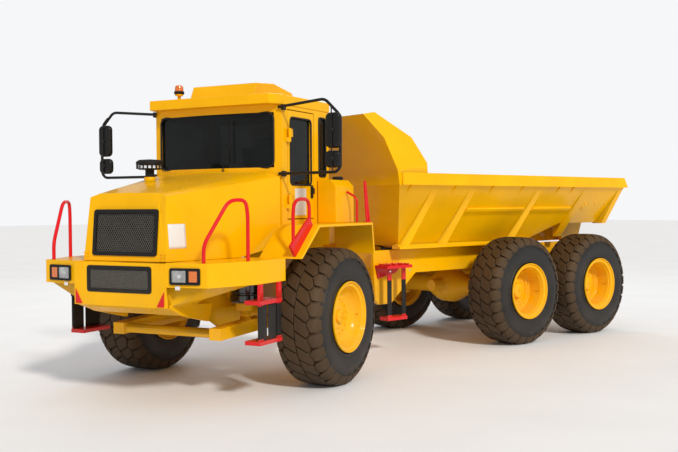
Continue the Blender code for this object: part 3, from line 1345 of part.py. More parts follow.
# ---- mudguards, tanks, rails, steps and mirrors --------------------------------------------------
def make_mudguards(front):
    for side_name, side in both_sides():
        middle = side * (GUARD_OUT_X + GUARD_IN_X) / 2
        width = GUARD_OUT_X - GUARD_IN_X
        t = GUARD_SHEET
        outline = [
            (GUARD_TOE_Y, DECK_Z - 0.01),
            (GUARD_FRONT_Y, GUARD_TOP_Z),
            (GUARD_REAR_Y, GUARD_TOP_Z),
            (GUARD_HEEL_Y, 1.39),
            (GUARD_HEEL_Y - t, 1.39),
            (GUARD_REAR_Y - t, GUARD_TOP_Z - t),
            (GUARD_FRONT_Y + t / 2, GUARD_TOP_Z - t),
            (GUARD_TOE_Y + t * 1.2, DECK_Z - 0.01),
        ]
        guard = side_plate(f"mudguard_{side_name}", middle, outline, width)
        finish(guard, "yellow_paint", front)
        z0 = GUARD_TOP_Z + SEAT
        x_in = CAB_HALF + 0.012
        profile = [
            (x_in, z0),
            (TANK_OUT_X, z0),
            (TANK_OUT_X, TANK_TOP_Z - 0.07),
            (TANK_OUT_X - 0.07, TANK_TOP_Z),
            (x_in, TANK_TOP_Z),
        ]
        name = "hydraulic_tank" if side > 0 else "fuel_tank"
        tank = cross_plate(name, (TANK_Y[0] + TANK_Y[1]) / 2, mirrored(side, profile), TANK_Y[1] - TANK_Y[0])
        finish(tank, "yellow_paint", front)


def make_rails(front):
    for side_name, side in both_sides():
        foot = DECK_Z + SEAT
        path = [
            (0.93, -3.46, foot),
            (0.93, -3.46, foot + 0.17),
            (1.045, -3.20, foot + 0.59),
            (1.12, -3.03, foot + 0.59),
            (1.13, -3.01, foot + 0.45),
            (1.13, -3.01, foot),
        ]
        rail = tube(f"handrail_front_{side_name}", mirrored(side, path), RAIL_TUBE, bend=0.14)
        finish(rail, "red_paint", front, smooth=True)
    toe = Vector((GUARD_TOE_Y, DECK_Z - 0.01))
    brow = Vector((GUARD_FRONT_Y, GUARD_TOP_Z))
    up = (brow - toe).normalized()
    out = Vector((-up.y, up.x))
    corners = (toe + up * 0.03, brow - up * 0.01, brow - up * 0.01, toe + up * 0.03)
    lifts = (SEAT, SEAT, 0.11, 0.15)
    stringer = [corner + out * lift for corner, lift in zip(corners, lifts)]
    stair = side_plate("access_step", 1.27, stringer, 0.03)
    loop = tube(
        "loop",
        [(1.27, -2.38, DECK_Z + 0.09), (1.27, -2.38, 2.03), (1.27, -2.04, 2.03), (1.27, -2.04, 1.80)],
        RAIL_TUBE,
        bend=0.16,
    )
    step = joined("access_step", stair, [loop])
    finish(step, "red_paint", front, smooth=True)


def make_hanging_steps(front):
    for side_name, side in both_sides():
        x0 = BOX_BEND_X - 0.07
        x1 = BOX_BEND_X + 0.01
        y0 = BOX_BEND_Y + 0.02
        y1 = y0 + 0.42
        top = box("top", (x0 - 0.10, y0, 0.995), (x1, y1, 1.035))
        legs = [
            box("leg", (x1 - 0.03, y, 1.0), (x1 - 0.005, y + 0.07, BOX_LOW_Z - SEAT)) for y in (y0, y1 - 0.07)
        ]
        straps = [box("strap", (x1 - 0.025, y, 0.63), (x1 - 0.010, y + 0.08, 1.01)) for y in (y0, y1 - 0.08)]
        low = box("low", (x0 - 0.10, y0, 0.60), (x1, y1, 0.64))
        step = joined(f"hanging_step_{side_name}", top, [*legs, *straps, low])
        step.scale.x = side
        finish(step, "red_paint", front)


def make_mirrors(front):
    for side_name, side in both_sides():
        base_x = CAB_HALF + SEAT + MIRROR_TUBE
        y = CAB_FRONT_Y - 0.03
        low = [
            (base_x - 0.04, y, 3.03),
            (1.42, y - 0.05, 3.08),
            (1.60, y - 0.05, 2.90),
            (1.60, y - 0.05, 2.36),
            (1.55, y - 0.05, 2.31),
            (base_x - 0.04, y, 2.31),
        ]
        frame = tube(f"mirror_{side_name}", mirrored(side, low), MIRROR_TUBE, bend=0.05)
        head = box("head", (1.45, y - 0.10, 2.56), (1.62, y - 0.02, 2.93))
        small = box("small", (1.43, y - 0.10, 2.37), (1.62, y - 0.02, 2.53))
        pads = [
            box("pad", (CAB_HALF + SEAT, y + 0.005, z - 0.025), (CAB_HALF + 0.025, y + 0.075, z + 0.025))
            for z in (3.03, 2.31)
        ]
        heads = []
        for shape in (head, small, *pads):
            shape.data.transform(Matrix.Scale(side, 4, (1, 0, 0)))
            if side < 0:
                shape.data.flip_normals()
            heads.append(shape)
        mirror = joined(f"mirror_{side_name}", frame, heads)
        finish(mirror, "black_paint", front, smooth=True)


# ---- assembly -----------------------------------------------------------------------------------
def centre_on_ground(root):
    """Moves the whole so that the origin lies under the middle of its box."""
    bpy.context.view_layer.update()
    graph = bpy.context.evaluated_depsgraph_get()
    points = []
    for obj in PARTS.objects:
        if obj.type != "MESH":
            continue
        solid = obj.evaluated_get(graph)
        mesh = solid.to_mesh()
        points += [solid.matrix_world @ vertex.co for vertex in mesh.vertices]
        solid.to_mesh_clear()
    xs = [point.x for point in points]
    ys = [point.y for point in points]
    root.location = (-(min(xs) + max(xs)) / 2, -(min(ys) + max(ys)) / 2, 0.0)


def main():
    global PARTS, CUTTERS
    clear_scene()
    PARTS = new_collection("articulated_dump_truck")
    CUTTERS = new_collection("cutters")
    CUTTERS.hide_render = True
    make_materials()
    root = empty("truck")
    rear = empty("rear_unit", parent=root)
    front = empty("front_unit", parent=root, turn=REST_ARTICULATION)
    make_rear_axles(rear)
    trunnion_z = make_bogie_beams(rear)
    make_rear_frame(rear, trunnion_z)
    make_frame_steps(rear)
    make_dump_body(rear)
    make_hoists(rear)
    make_hitch(rear)
    make_front_frame(front)
    make_front_axle(front)
    make_engine(front)
    make_front_fascia(front)
    make_hood(front)
    make_cab(front)
    make_glass(front)
    make_door(front)
    make_interior(front)
    make_mudguards(front)
    make_rails(front)
    make_hanging_steps(front)
    make_mirrors(front)
    make_steering(front)
    add_booleans()
    centre_on_ground(root)


main()
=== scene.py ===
# %% [markdown]
# # An articulated dump truck, dressed over its CAD frame
#
# The CAD part holds every solid in its true place: frame, cab, bin, wheels and cylinders. This
# lesson gives those solids paint, rolled edges, tread, glass and small fittings, one step at a
# time. The solids could be modelled again in full, but dressing them keeps every place and joint
# right. The truck stands with its front unit turned to its left, so most pieces of the front are
# written in that unit's own axes, where X is the truck's left, Y runs backward and Z is height
# above the ground. One matrix then carries them to their place.

import json
import math

import bmesh
import bpy
import numpy as np
from mathutils import Matrix, Vector
from mathutils.bvhtree import BVHTree

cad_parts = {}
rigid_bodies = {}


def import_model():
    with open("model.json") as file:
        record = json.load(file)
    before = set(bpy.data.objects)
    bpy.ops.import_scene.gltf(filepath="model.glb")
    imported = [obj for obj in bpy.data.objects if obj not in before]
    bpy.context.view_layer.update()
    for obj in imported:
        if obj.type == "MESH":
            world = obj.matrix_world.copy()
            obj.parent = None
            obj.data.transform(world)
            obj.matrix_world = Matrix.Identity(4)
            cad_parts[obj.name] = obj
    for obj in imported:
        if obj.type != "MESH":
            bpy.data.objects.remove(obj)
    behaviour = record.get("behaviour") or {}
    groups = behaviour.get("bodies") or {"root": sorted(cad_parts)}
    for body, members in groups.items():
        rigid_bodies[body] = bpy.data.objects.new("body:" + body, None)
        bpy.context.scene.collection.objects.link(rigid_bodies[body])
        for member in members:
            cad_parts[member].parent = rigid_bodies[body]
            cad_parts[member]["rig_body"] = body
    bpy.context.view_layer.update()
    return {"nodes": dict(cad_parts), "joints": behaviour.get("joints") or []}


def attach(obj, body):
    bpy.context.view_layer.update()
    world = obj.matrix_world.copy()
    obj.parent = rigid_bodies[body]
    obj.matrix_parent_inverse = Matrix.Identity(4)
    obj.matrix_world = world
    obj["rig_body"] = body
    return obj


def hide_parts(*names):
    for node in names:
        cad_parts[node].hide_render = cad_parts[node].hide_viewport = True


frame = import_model()
NODES = frame["nodes"]
JOINTS = {joint["name"]: joint for joint in frame["joints"]}

# %% [markdown]
# ## Two sets of axes
#
# On the real truck the front half steers about a pin in the hitch. Fittings could be written in
# the world's axes, but then every number on the front half would hide that angle. So the hitch
# pivot is the origin of both units, the rear unit's axes are the world's, and the front unit's
# are turned by the angle that the truck rests at, which the front wheels' axis gives.

# %% The two units' matrices
pivot = Vector(JOINTS["steer"]["pos_m"])
wheel_axis = Vector(JOINTS["front_wheel_left_spin"]["axis"])
turned = math.atan2(wheel_axis.y, wheel_axis.x)
REAR = Matrix.Translation((pivot.x, pivot.y, 0))
FRONT = REAR @ Matrix.Rotation(turned, 4, "Z")
FRONT_BODIES = ("front_unit", "engine_hood", "door", "front_wheel_left", "front_wheel_right")
print("the front unit is turned by", round(math.degrees(turned), 2), "degrees")


def unit_of(body):
    return FRONT if body in FRONT_BODIES else REAR


def local_box(node, matrix):
    """(lowest, highest) corner of a CAD node in a unit's own axes."""
    back = matrix.inverted()
    places = np.array([back @ vertex.co for vertex in NODES[node].data.vertices])
    return Vector(places.min(0)), Vector(places.max(0))


# %% [markdown]
# ## A short way to write shader nodes
#
# Every material below is procedural, so it needs no picture and holds up from any distance. Nodes
# could be placed by hand in the editor, but a lesson is easier to read as text. `add` makes a
# node, sets its options and fills its inputs, linking those that are given as sockets. `shared`
# makes a node group with named inputs and outputs, for an effect that several finishes need, and
# `use` places that group in a material with the material's own values.


# %% Shader helpers
def add(tree, kind, options=None, **inputs):
    made = tree.nodes.new("ShaderNode" + kind)
    for key, value in (options or {}).items():
        setattr(made, key, value)
    for key, value in inputs.items():
        socket = made.inputs[int(key[1:])] if key[0] == "i" and key[1:].isdigit() else made.inputs[key]
        if isinstance(value, bpy.types.NodeSocket):
            tree.links.new(value, socket)
        else:
            socket.default_value = value
    return made


def noise(tree, scale, detail=3.0, vector=None, roughness=0.55):
    inputs = {"Scale": scale, "Detail": detail, "Roughness": roughness}
    if vector:
        inputs["Vector"] = vector
    return add(tree, "TexNoise", **inputs).outputs["Fac"]


def ramp(tree, value, low, high, from_value=0.0, to_value=1.0):
    made = add(tree, "MapRange", {"clamp": True}, i0=value, i1=low, i2=high, i3=from_value, i4=to_value)
    return made.outputs["Result"]


def maths(tree, operation, first, second=0.5):
    return add(tree, "Math", {"operation": operation, "use_clamp": False}, i0=first, i1=second).outputs[0]


def blend(tree, mask, first, second):
    made = add(tree, "Mix", {"data_type": "RGBA"}, i0=mask)
    for index, value in ((6, first), (7, second)):
        if isinstance(value, bpy.types.NodeSocket):
            tree.links.new(value, made.inputs[index])
        else:
            made.inputs[index].default_value = (*value, 1.0)
    return made.outputs[2]


def object_place(tree):
    return add(tree, "TexCoord").outputs["Object"]


def shared(name, inputs, outputs, build):
    """A node group. inputs: name and usual value. build(tree, given) returns each output's value."""
    tree = bpy.data.node_groups.new(name, "ShaderNodeTree")
    for title, usual in inputs.items():
        socket = tree.interface.new_socket(title, in_out="INPUT", socket_type="NodeSocketFloat")
        socket.default_value = usual
    for title in outputs:
        tree.interface.new_socket(title, in_out="OUTPUT", socket_type="NodeSocketFloat")
    given = tree.nodes.new("NodeGroupInput").outputs
    end = tree.nodes.new("NodeGroupOutput")
    for socket, value in zip(end.inputs, build(tree, given)):
        tree.links.new(value, socket)
    return tree


def use(tree, group_tree, output, **values):
    """An output of a shared group, which stands once in each material with its own values."""
    made = next((node for node in tree.nodes if node.type == "GROUP" and node.node_tree == group_tree), None)
    if made is None:
        made = tree.nodes.new("ShaderNodeGroup")
        made.node_tree = group_tree
    for title, value in values.items():
        made.inputs[title].default_value = value
    return made.outputs[output]


print("shader helpers ready")

# %% [markdown]
# ## What wears and what settles
#
# Paint rubs thin on edges, and road dust gathers low down and on faces that look up. Both could
# be painted by hand on each piece, but a rule does it for all of them at once. A Bevel node
# rounds the normal, and where that differs from the true one there is an edge. The height above
# the ground and a noise make the dust. The grain is three noises: fine, orange peel, and broad.


# %% Shared effects
def build_edge(tree, given):
    rounded = add(tree, "Bevel", {"samples": 4}, Radius=given["Radius"]).outputs["Normal"]
    flat = add(tree, "NewGeometry").outputs["Normal"]
    alike = add(tree, "VectorMath", {"operation": "DOT_PRODUCT"}, i0=rounded, i1=flat).outputs["Value"]
    broken = noise(tree, 26.0, 5.0, object_place(tree), 0.7)
    edge = ramp(tree, alike, 0.985, 0.90)
    mask = maths(tree, "MULTIPLY", edge, ramp(tree, broken, 0.52, 0.68))
    return [maths(tree, "MULTIPLY", mask, given["Amount"])]


def build_dust(tree, given):
    geometry = add(tree, "NewGeometry")
    height = add(tree, "SeparateXYZ", i0=geometry.outputs["Position"]).outputs["Z"]
    upward = add(tree, "SeparateXYZ", i0=geometry.outputs["Normal"]).outputs["Z"]
    cloud = noise(tree, 3.2, 6.0, object_place(tree), 0.62)
    low = maths(tree, "MULTIPLY", ramp(tree, height, 1.25, 0.15), ramp(tree, cloud, 0.36, 0.66))
    resting = maths(tree, "MULTIPLY", ramp(tree, upward, 0.6, 1.0, 0.0, 0.22), ramp(tree, cloud, 0.42, 0.62))
    everywhere = maths(tree, "MAXIMUM", low, resting)
    return [maths(tree, "MULTIPLY", mask, given["Amount"]) for mask in (low, everywhere)]


def build_grain(tree, given):
    spot = object_place(tree)
    fine = noise(tree, given["Fine Scale"], 2.0, spot)
    peel = noise(tree, given["Peel Scale"], 2.0, spot)
    broad = noise(tree, given["Broad Scale"], 4.0, spot)
    return [fine, peel, broad]


EDGE = shared("edge_wear", {"Radius": 0.007, "Amount": 1.0}, ("Mask",), build_edge)
DUST = shared("road_dust", {"Amount": 1.0}, ("Low", "All"), build_dust)
GRAIN_SCALES = {"Fine Scale": 420.0, "Peel Scale": 95.0, "Broad Scale": 1.7}
GRAIN = shared("surface_grain", GRAIN_SCALES, ("Fine", "Peel", "Broad"), build_grain)
DUST_COLOUR = (0.34, 0.25, 0.15)
print("shared effects:", EDGE.name, DUST.name, GRAIN.name)

# %% [markdown]
# ## The finishes
#
# The truck wears few finishes: sprayed yellow, red on what a driver grips or steps on, satin
# black, cast iron, bare steel, rubber and glass. Each could be its own material, but the sprayed
# ones differ only in numbers, so `paint` builds them all: a colour that drifts a little, edges
# that wear to another colour, dust, and a faint orange peel. `rubber` is rough and brown with
# dust in its grooves. `dark_glass` mostly reflects, as a cab's tinted panes do from outside, and
# `lens` is a ribbed lamp cover.


# %% Kinds of finish
def new_material(name):
    made = bpy.data.materials.new(name)
    made.use_nodes = True
    tree = made.node_tree
    shader = tree.nodes["Principled BSDF"]
    return made, tree, shader


def set_input(tree, shader, name, value):
    if isinstance(value, bpy.types.NodeSocket):
        tree.links.new(value, shader.inputs[name])
    else:
        shader.inputs[name].default_value = value


def bump(tree, shader, height, strength, distance):
    made = add(tree, "Bump", Strength=strength, Distance=distance, Height=height)
    tree.links.new(made.outputs["Normal"], shader.inputs["Normal"])


def paint(name, colour, worn, rough=(0.20, 0.34), coat=0.6, dust=0.75, metal=0.0, peel=0.10, shine=0.3):
    """A sprayed finish: colour drifts a little, edges wear to another colour, dust settles."""
    made, tree, shader = new_material(name)
    broad = use(tree, GRAIN, "Broad")
    deep = tuple(0.86 * part for part in colour)
    base = blend(tree, ramp(tree, broad, 0.30, 0.70), deep, colour)
    base = blend(tree, use(tree, EDGE, "Mask", Amount=0.65), base, worn)
    dusty = use(tree, DUST, "All", Amount=dust)
    base = blend(tree, dusty, base, DUST_COLOUR)
    set_input(tree, shader, "Base Color", base)
    gloss = ramp(tree, use(tree, GRAIN, "Peel"), 0.3, 0.7, *rough)
    dull = maths(tree, "MULTIPLY", dusty, 0.85)
    set_input(tree, shader, "Roughness", maths(tree, "MAXIMUM", gloss, dull))
    set_input(tree, shader, "Metallic", metal)
    set_input(tree, shader, "Coat Weight", ramp(tree, dusty, 0.0, 0.5, coat, 0.0))
    shader.inputs["Coat Roughness"].default_value = 0.06
    shader.inputs["Specular IOR Level"].default_value = shine
    bump(tree, shader, use(tree, GRAIN, "Peel"), peel, 0.0015)
    return made


MUD_COLOUR = (0.085, 0.06, 0.042)
SCUFF_COLOUR = (0.13, 0.105, 0.085)


def rubber(name, colour, rough):
    """Rubber: dark and drifting a little, browner low down and grey where its edges wear."""
    made, tree, shader = new_material(name)
    broad = use(tree, GRAIN, "Broad")
    base = blend(tree, ramp(tree, broad, 0.3, 0.7), tuple(0.6 * part for part in colour), colour)
    base = blend(tree, use(tree, DUST, "Low", Amount=0.35), base, MUD_COLOUR)
    base = blend(tree, use(tree, EDGE, "Mask", Amount=0.55), base, SCUFF_COLOUR)
    set_input(tree, shader, "Base Color", base)
    set_input(tree, shader, "Roughness", ramp(tree, use(tree, GRAIN, "Peel"), 0.3, 0.7, *rough))
    shader.inputs["Specular IOR Level"].default_value = 0.3
    bump(tree, shader, use(tree, GRAIN, "Fine"), 0.22, 0.0012)
    return made


def dark_glass(name, tint, alpha):
    """A pane seen from outside: mostly reflection, with a little of the inside showing."""
    made, tree, shader = new_material(name)
    streak = noise(tree, 5.0, 3.0, object_place(tree))
    facing = add(tree, "LayerWeight", Blend=0.35).outputs["Facing"]
    pale = tuple(1.5 * part for part in tint)
    set_input(tree, shader, "Base Color", blend(tree, ramp(tree, streak, 0.4, 0.7), tint, pale))
    set_input(tree, shader, "Roughness", ramp(tree, streak, 0.35, 0.75, 0.02, 0.07))
    set_input(tree, shader, "Alpha", ramp(tree, facing, 0.0, 1.0, alpha, 0.97))
    shader.inputs["IOR"].default_value = 1.45
    shader.inputs["Specular IOR Level"].default_value = 0.28
    return made


def lens(name, colour, glow):
    """A moulded lens: ribbed by a wave, clear or coloured."""
    made, tree, shader = new_material(name)
    bands = {"wave_type": "BANDS", "bands_direction": "Z"}
    wave = add(tree, "TexWave", bands, Vector=object_place(tree), Scale=20.0)
    deep = tuple(0.7 * part for part in colour)
    set_input(tree, shader, "Base Color", blend(tree, wave.outputs["Fac"], deep, colour))
    set_input(tree, shader, "Roughness", ramp(tree, use(tree, GRAIN, "Peel"), 0.3, 0.7, 0.05, 0.12))
    shader.inputs["Coat Weight"].default_value = 1.0
    shader.inputs["Emission Color"].default_value = (*colour, 1)
    shader.inputs["Emission Strength"].default_value = glow
    bump(tree, shader, wave.outputs["Fac"], 0.35, 0.003)
    return made


def fabric(name):
    """Seat cloth: a fine weave from two crossed waves."""
    made, tree, shader = new_material(name)
    spot = object_place(tree)
    across = add(tree, "TexWave", {"bands_direction": "X"}, Vector=spot, Scale=90.0).outputs["Fac"]
    along = add(tree, "TexWave", {"bands_direction": "Z"}, Vector=spot, Scale=90.0).outputs["Fac"]
    weave = maths(tree, "MULTIPLY", across, along)
    set_input(tree, shader, "Base Color", blend(tree, weave, (0.03, 0.03, 0.033), (0.075, 0.075, 0.08)))
    set_input(tree, shader, "Roughness", ramp(tree, weave, 0.0, 1.0, 0.95, 0.8))
    shader.inputs["Sheen Weight"].default_value = 0.4
    bump(tree, shader, weave, 0.5, 0.002)
    return made


print("paint, rubber, glass, lens and cloth can be mixed")

# %% [markdown]
# ## Mixing the finishes
#
# Every colour is given as light, not as screen values, so the dark ones are very small numbers.
# The yellow carries almost no blue, because any sky in the reflection adds enough of it. The
# plates where a maker would put a name are a plain white film.

# %% Finishes of this truck
YELLOW = paint("yellow_paint", (0.96, 0.485, 0.0), (0.96, 0.58, 0.015), coat=0.16, dust=0.36, shine=0.10)
RED = paint("red_paint", (0.72, 0.004, 0.010), (0.75, 0.12, 0.06), coat=0.3, dust=0.35, shine=0.2)
BLACK = paint(
    "black_satin", (0.008, 0.0075, 0.007), (0.07, 0.065, 0.06),
    rough=(0.28, 0.45), coat=0.08, dust=0.35, shine=0.25,
)
IRON = paint(
    "cast_iron", (0.055, 0.046, 0.040), (0.16, 0.13, 0.10),
    rough=(0.5, 0.7), coat=0.0, dust=0.9, peel=0.5,
)
STEEL = paint(
    "bare_steel", (0.46, 0.45, 0.44), (0.7, 0.7, 0.7),
    rough=(0.16, 0.32), coat=0.0, dust=0.35, metal=1.0,
)
MATT = paint(
    "black_plastic", (0.012, 0.012, 0.012), (0.05, 0.05, 0.05),
    rough=(0.5, 0.66), coat=0.0, dust=0.3, peel=0.4, shine=0.2,
)
GLOSS_BLACK = paint(
    "gloss_black", (0.006, 0.006, 0.006), (0.06, 0.06, 0.06),
    rough=(0.08, 0.16), coat=0.8, dust=0.2, shine=0.5,
)
MESH = paint(
    "grille_mesh", (0.16, 0.15, 0.13), (0.28, 0.26, 0.22),
    rough=(0.3, 0.5), coat=0.0, dust=0.1, metal=0.4,
)
WHITE = paint("white_decal", (0.80, 0.79, 0.76), (0.7, 0.7, 0.68), rough=(0.3, 0.4), coat=0.3, dust=0.3)
RUBBER = rubber("tyre_rubber", (0.082, 0.047, 0.020), (0.62, 0.80))
WALL_RUBBER = rubber("tyre_wall", (0.020, 0.019, 0.018), (0.40, 0.55))
SEAL = rubber("window_seal", (0.012, 0.012, 0.012), (0.45, 0.6))
GLASS = dark_glass("cab_glass", (0.006, 0.008, 0.008), 0.72)
LAMP_GLASS = dark_glass("lamp_glass", (0.55, 0.57, 0.58), 0.10)
MIRROR_GLASS = paint(
    "mirror_glass", (0.34, 0.36, 0.38), (0.4, 0.4, 0.4),
    rough=(0.02, 0.05), coat=0.0, dust=0.1, metal=1.0, peel=0.0,
)
CLEAR = lens("lamp_lens", (0.78, 0.80, 0.80), 0.10)
AMBER = lens("amber_lens", (0.75, 0.16, 0.008), 0.06)
CLOTH = fabric("seat_cloth")
print(len(bpy.data.materials), "materials")

# %% [markdown]
# ## Making a piece
#
# Fittings are made from the same stock as the real ones: boxes, turned parts, tubes along a path,
# flat plates and bolts. Operators would need a selected object each time, so the shapes are built
# in a bmesh instead, and several can share one. `place` then turns the bmesh, written in a unit's
# own axes, into an object that rides on a body. Its Bevel rounds edges sharper than a set angle.


# %% From a bmesh to a piece
BEVEL_ANGLE = math.radians(32)
SMOOTH_ANGLE = math.radians(38)


def place(
    name, work, material, body,
    bevel=0.0, matrix=None, smooth=True, segments=2, outward_only=False,
):
    mesh = bpy.data.meshes.new(name)
    bmesh.ops.recalc_face_normals(work, faces=work.faces)
    if outward_only:
        weight = work.edges.layers.float.new("bevel_weight_edge")
        for edge in work.edges:
            sharp = edge.is_manifold and edge.is_convex and edge.calc_face_angle() > BEVEL_ANGLE
            edge[weight] = float(sharp)
    work.to_mesh(mesh)
    work.free()
    mesh.transform(matrix or unit_of(body))
    materials = material if isinstance(material, (list, tuple)) else [material]
    for each in materials:
        mesh.materials.append(each)
    piece = bpy.data.objects.new(name, mesh)
    bpy.context.scene.collection.objects.link(piece)
    if bevel:
        rounding = piece.modifiers.new("rounding", "BEVEL")
        rounding.width = bevel
        rounding.segments = segments
        rounding.limit_method = "WEIGHT" if outward_only else "ANGLE"
        rounding.angle_limit = BEVEL_ANGLE
        rounding.harden_normals = False
    if smooth:
        mesh.shade_smooth()
        normals = piece.modifiers.new("normals", "WEIGHTED_NORMAL")
        normals.keep_sharp = True
        if not bevel:
            mesh.set_sharp_from_angle(angle=SMOOTH_ANGLE)
    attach(piece, body)
    return piece


def both_sides():
    return (("left", 1), ("right", -1))


print("edges sharper than", round(math.degrees(BEVEL_ANGLE)), "degrees get a bevel")

# %% [markdown]
# ## Stock shapes
#
# Each of these adds one shape to a bmesh, so that a fitting made of many parts stays one mesh.
# A turned shape is a profile spun about an axis, which suits knobs, lamps, rims and bolts alike.
# A tube is swept along a path whose corners are first turned into arcs, as a pipe bender would.


# %% Turned parts, tubes and boxes
def add_box(work, low, high, matrix=None):
    low, high = Vector(low), Vector(high)
    where = Matrix.Translation((low + high) / 2) @ Matrix.Diagonal((*(high - low), 1))
    bmesh.ops.create_cube(work, size=1, matrix=(matrix or Matrix()) @ where)


def add_walls(work, rings):
    """Quads between each closed ring of vertices and the next."""
    for low, high in zip(rings, rings[1:]):
        for step in range(len(low)):
            after = (step + 1) % len(low)
            work.faces.new((low[step], low[after], high[after], high[step]))


def basis(direction):
    """A rotation that turns Z to the direction."""
    z = Vector(direction).normalized()
    x = Vector((0, 0, 1)).cross(z)
    if x.length < 1e-4:
        x = Vector((0, 1, 0)).cross(z)
    x.normalize()
    y = z.cross(x)
    return Matrix((x, y, z)).transposed().to_4x4()


def add_turned(work, profile, start, direction, steps=24):
    """A turned shape: profile holds (height along the direction, radius)."""
    where = Matrix.Translation(start) @ basis(direction)
    rings = []
    for height, radius in profile:
        if radius < 1e-6:
            rings.append([work.verts.new(where @ Vector((0, 0, height)))])
            continue
        ring = []
        for step in range(steps):
            angle = 2 * math.pi * step / steps
            spot = Vector((radius * math.cos(angle), radius * math.sin(angle), height))
            ring.append(work.verts.new(where @ spot))
        rings.append(ring)
    for low, high in zip(rings, rings[1:]):
        for step in range(steps):
            after = (step + 1) % steps
            corners = [low[step % len(low)], low[after % len(low)]]
            corners += [high[after % len(high)], high[step % len(high)]]
            corners = list(dict.fromkeys(corners))
            if len(corners) > 2:
                work.faces.new(corners)
    for ring, turn in ((rings[0], -1), (rings[-1], 1)):
        if len(ring) > 2:
            work.faces.new(ring[::turn])


def add_rod(work, start, end, radius, steps=10):
    direction = Vector(end) - Vector(start)
    length = direction.length
    edge = min(radius * 0.25, length * 0.2)
    profile = [(0, radius - edge), (edge, radius), (length - edge, radius), (length, radius - edge)]
    add_turned(work, profile, start, direction, steps)


def add_bolt(work, centre, direction, size=0.012, washer=True):
    """A hexagon head on a washer."""
    if washer:
        rim = [(0, size * 1.35), (size * 0.18, size * 1.35), (size * 0.22, size * 1.2)]
        add_turned(work, rim, centre, direction, 12)
    head = [(size * 0.2, size), (size * 0.75, size), (size * 0.9, size * 0.8)]
    add_turned(work, head, centre, direction, 6)


def rounded_path(points, radius, steps=5):
    """The path with each inner corner turned into an arc."""
    points = [Vector(point) for point in points]
    made = [points[0]]
    for before, corner, after in zip(points, points[1:], points[2:]):
        reach = min(radius, (before - corner).length * 0.45, (after - corner).length * 0.45)
        start = corner + (before - corner).normalized() * reach
        end = corner + (after - corner).normalized() * reach
        for step in range(steps + 1):
            t = step / steps
            made.append(start.lerp(corner, t).lerp(corner.lerp(end, t), t))
    return made + [points[-1]]


def add_tube(work, points, radius, steps=12):
    """A tube with closed ends along a path of points."""
    points = [Vector(point) for point in points]
    rings, across = [], None
    for index, point in enumerate(points):
        before, after = points[max(index - 1, 0)], points[min(index + 1, len(points) - 1)]
        tangent = (after - before).normalized()
        if across is None:
            across = tangent.orthogonal().normalized()
        across = (across - tangent * across.dot(tangent)).normalized()
        up = tangent.cross(across)
        ring = []
        for step in range(steps):
            angle = 2 * math.pi * step / steps
            away = across * math.cos(angle) + up * math.sin(angle)
            ring.append(work.verts.new(point + away * radius))
        rings.append(ring)
    add_walls(work, rings)
    work.faces.new(rings[0][::-1])
    work.faces.new(rings[-1])


print("boxes, turned parts, rods, bolts and tubes can be added")

# %% [markdown]
# ## Flat shapes
#
# Lamps, panes, mirrors and plates all start from a rectangle with round corners. A plate fills
# it, and a frame is the ring between two of them. `facing` gives the axes of a wall, so that the
# same flat shape can be laid on any side of the truck.


# %% Plates and frames
def rounded_rectangle(half_width, half_height, radius, steps=5):
    """Points of a rectangle with round corners, about the origin."""
    made = []
    for centre_x, centre_y, start in (
        (half_width - radius, half_height - radius, 0),
        (-half_width + radius, half_height - radius, 90),
        (-half_width + radius, -half_height + radius, 180),
        (half_width - radius, -half_height + radius, 270),
    ):
        for step in range(steps + 1):
            angle = math.radians(start + 90 * step / steps)
            made.append((centre_x + radius * math.cos(angle), centre_y + radius * math.sin(angle)))
    return made


def add_frame(work, matrix, outer, inner, depth):
    """A flat ring between two outlines with as many points, of some depth along the matrix's Z."""
    rings = []
    for outline, height in ((outer, 0), (outer, depth), (inner, depth), (inner, 0)):
        rings.append([work.verts.new(matrix @ Vector((x, y, height))) for x, y in outline])
    add_walls(work, rings + rings[:1])


def add_plate(work, matrix, outline, depth):
    """A flat plate with an outline, of some depth along the matrix's Z."""
    low = [work.verts.new(matrix @ Vector((x, y, 0))) for x, y in outline]
    high = [work.verts.new(matrix @ Vector((x, y, depth))) for x, y in outline]
    work.faces.new(low[::-1])
    work.faces.new(high)
    add_walls(work, [low, high])


def add_prism(work, first, second):
    """A solid between two outlines, given as points."""
    low = [work.verts.new(point) for point in first]
    high = [work.verts.new(point) for point in second]
    work.faces.new(low)
    work.faces.new(high[::-1])
    add_walls(work, [low, high])


def facing(centre, outward, up=(0, 0, 1)):
    """Axes for a fitting on a wall: X to the side, Y up, Z outward."""
    z = Vector(outward).normalized()
    x = Vector(up).cross(z).normalized()
    y = z.cross(x)
    return Matrix.Translation(centre) @ Matrix((x, y, z)).transposed().to_4x4()


def shifted(matrix, x=0.0, y=0.0, z=0.0):
    """Axes moved along their own X, Y and Z."""
    return matrix @ Matrix.Translation((x, y, z))


print("plates, frames and prisms can be added")

# %% [markdown]
# ## Plates with rolled edges
#
# Real sheet steel is folded and cast parts are rounded, so no edge is knife sharp. Each edge
# could be modelled round by hand. Here each painted CAD node is copied, its flat triangles are
# joined into whole faces, and a Bevel rounds the edges that point outward. Inner corners stay
# sharp, so that no copy grows into its neighbour. The copy then stands for the node. The steps
# are red steel with black rubber straps, so their faces are cut at two heights first.


# %% Bevelled copies of the CAD nodes
def whole_faces(node):
    """A node's mesh with its flat triangles joined."""
    work = bmesh.new()
    work.from_mesh(NODES[node].data)
    bmesh.ops.remove_doubles(work, verts=work.verts, dist=0.0004)
    bmesh.ops.dissolve_limit(work, angle_limit=math.radians(0.6), verts=work.verts, edges=work.edges)
    return work


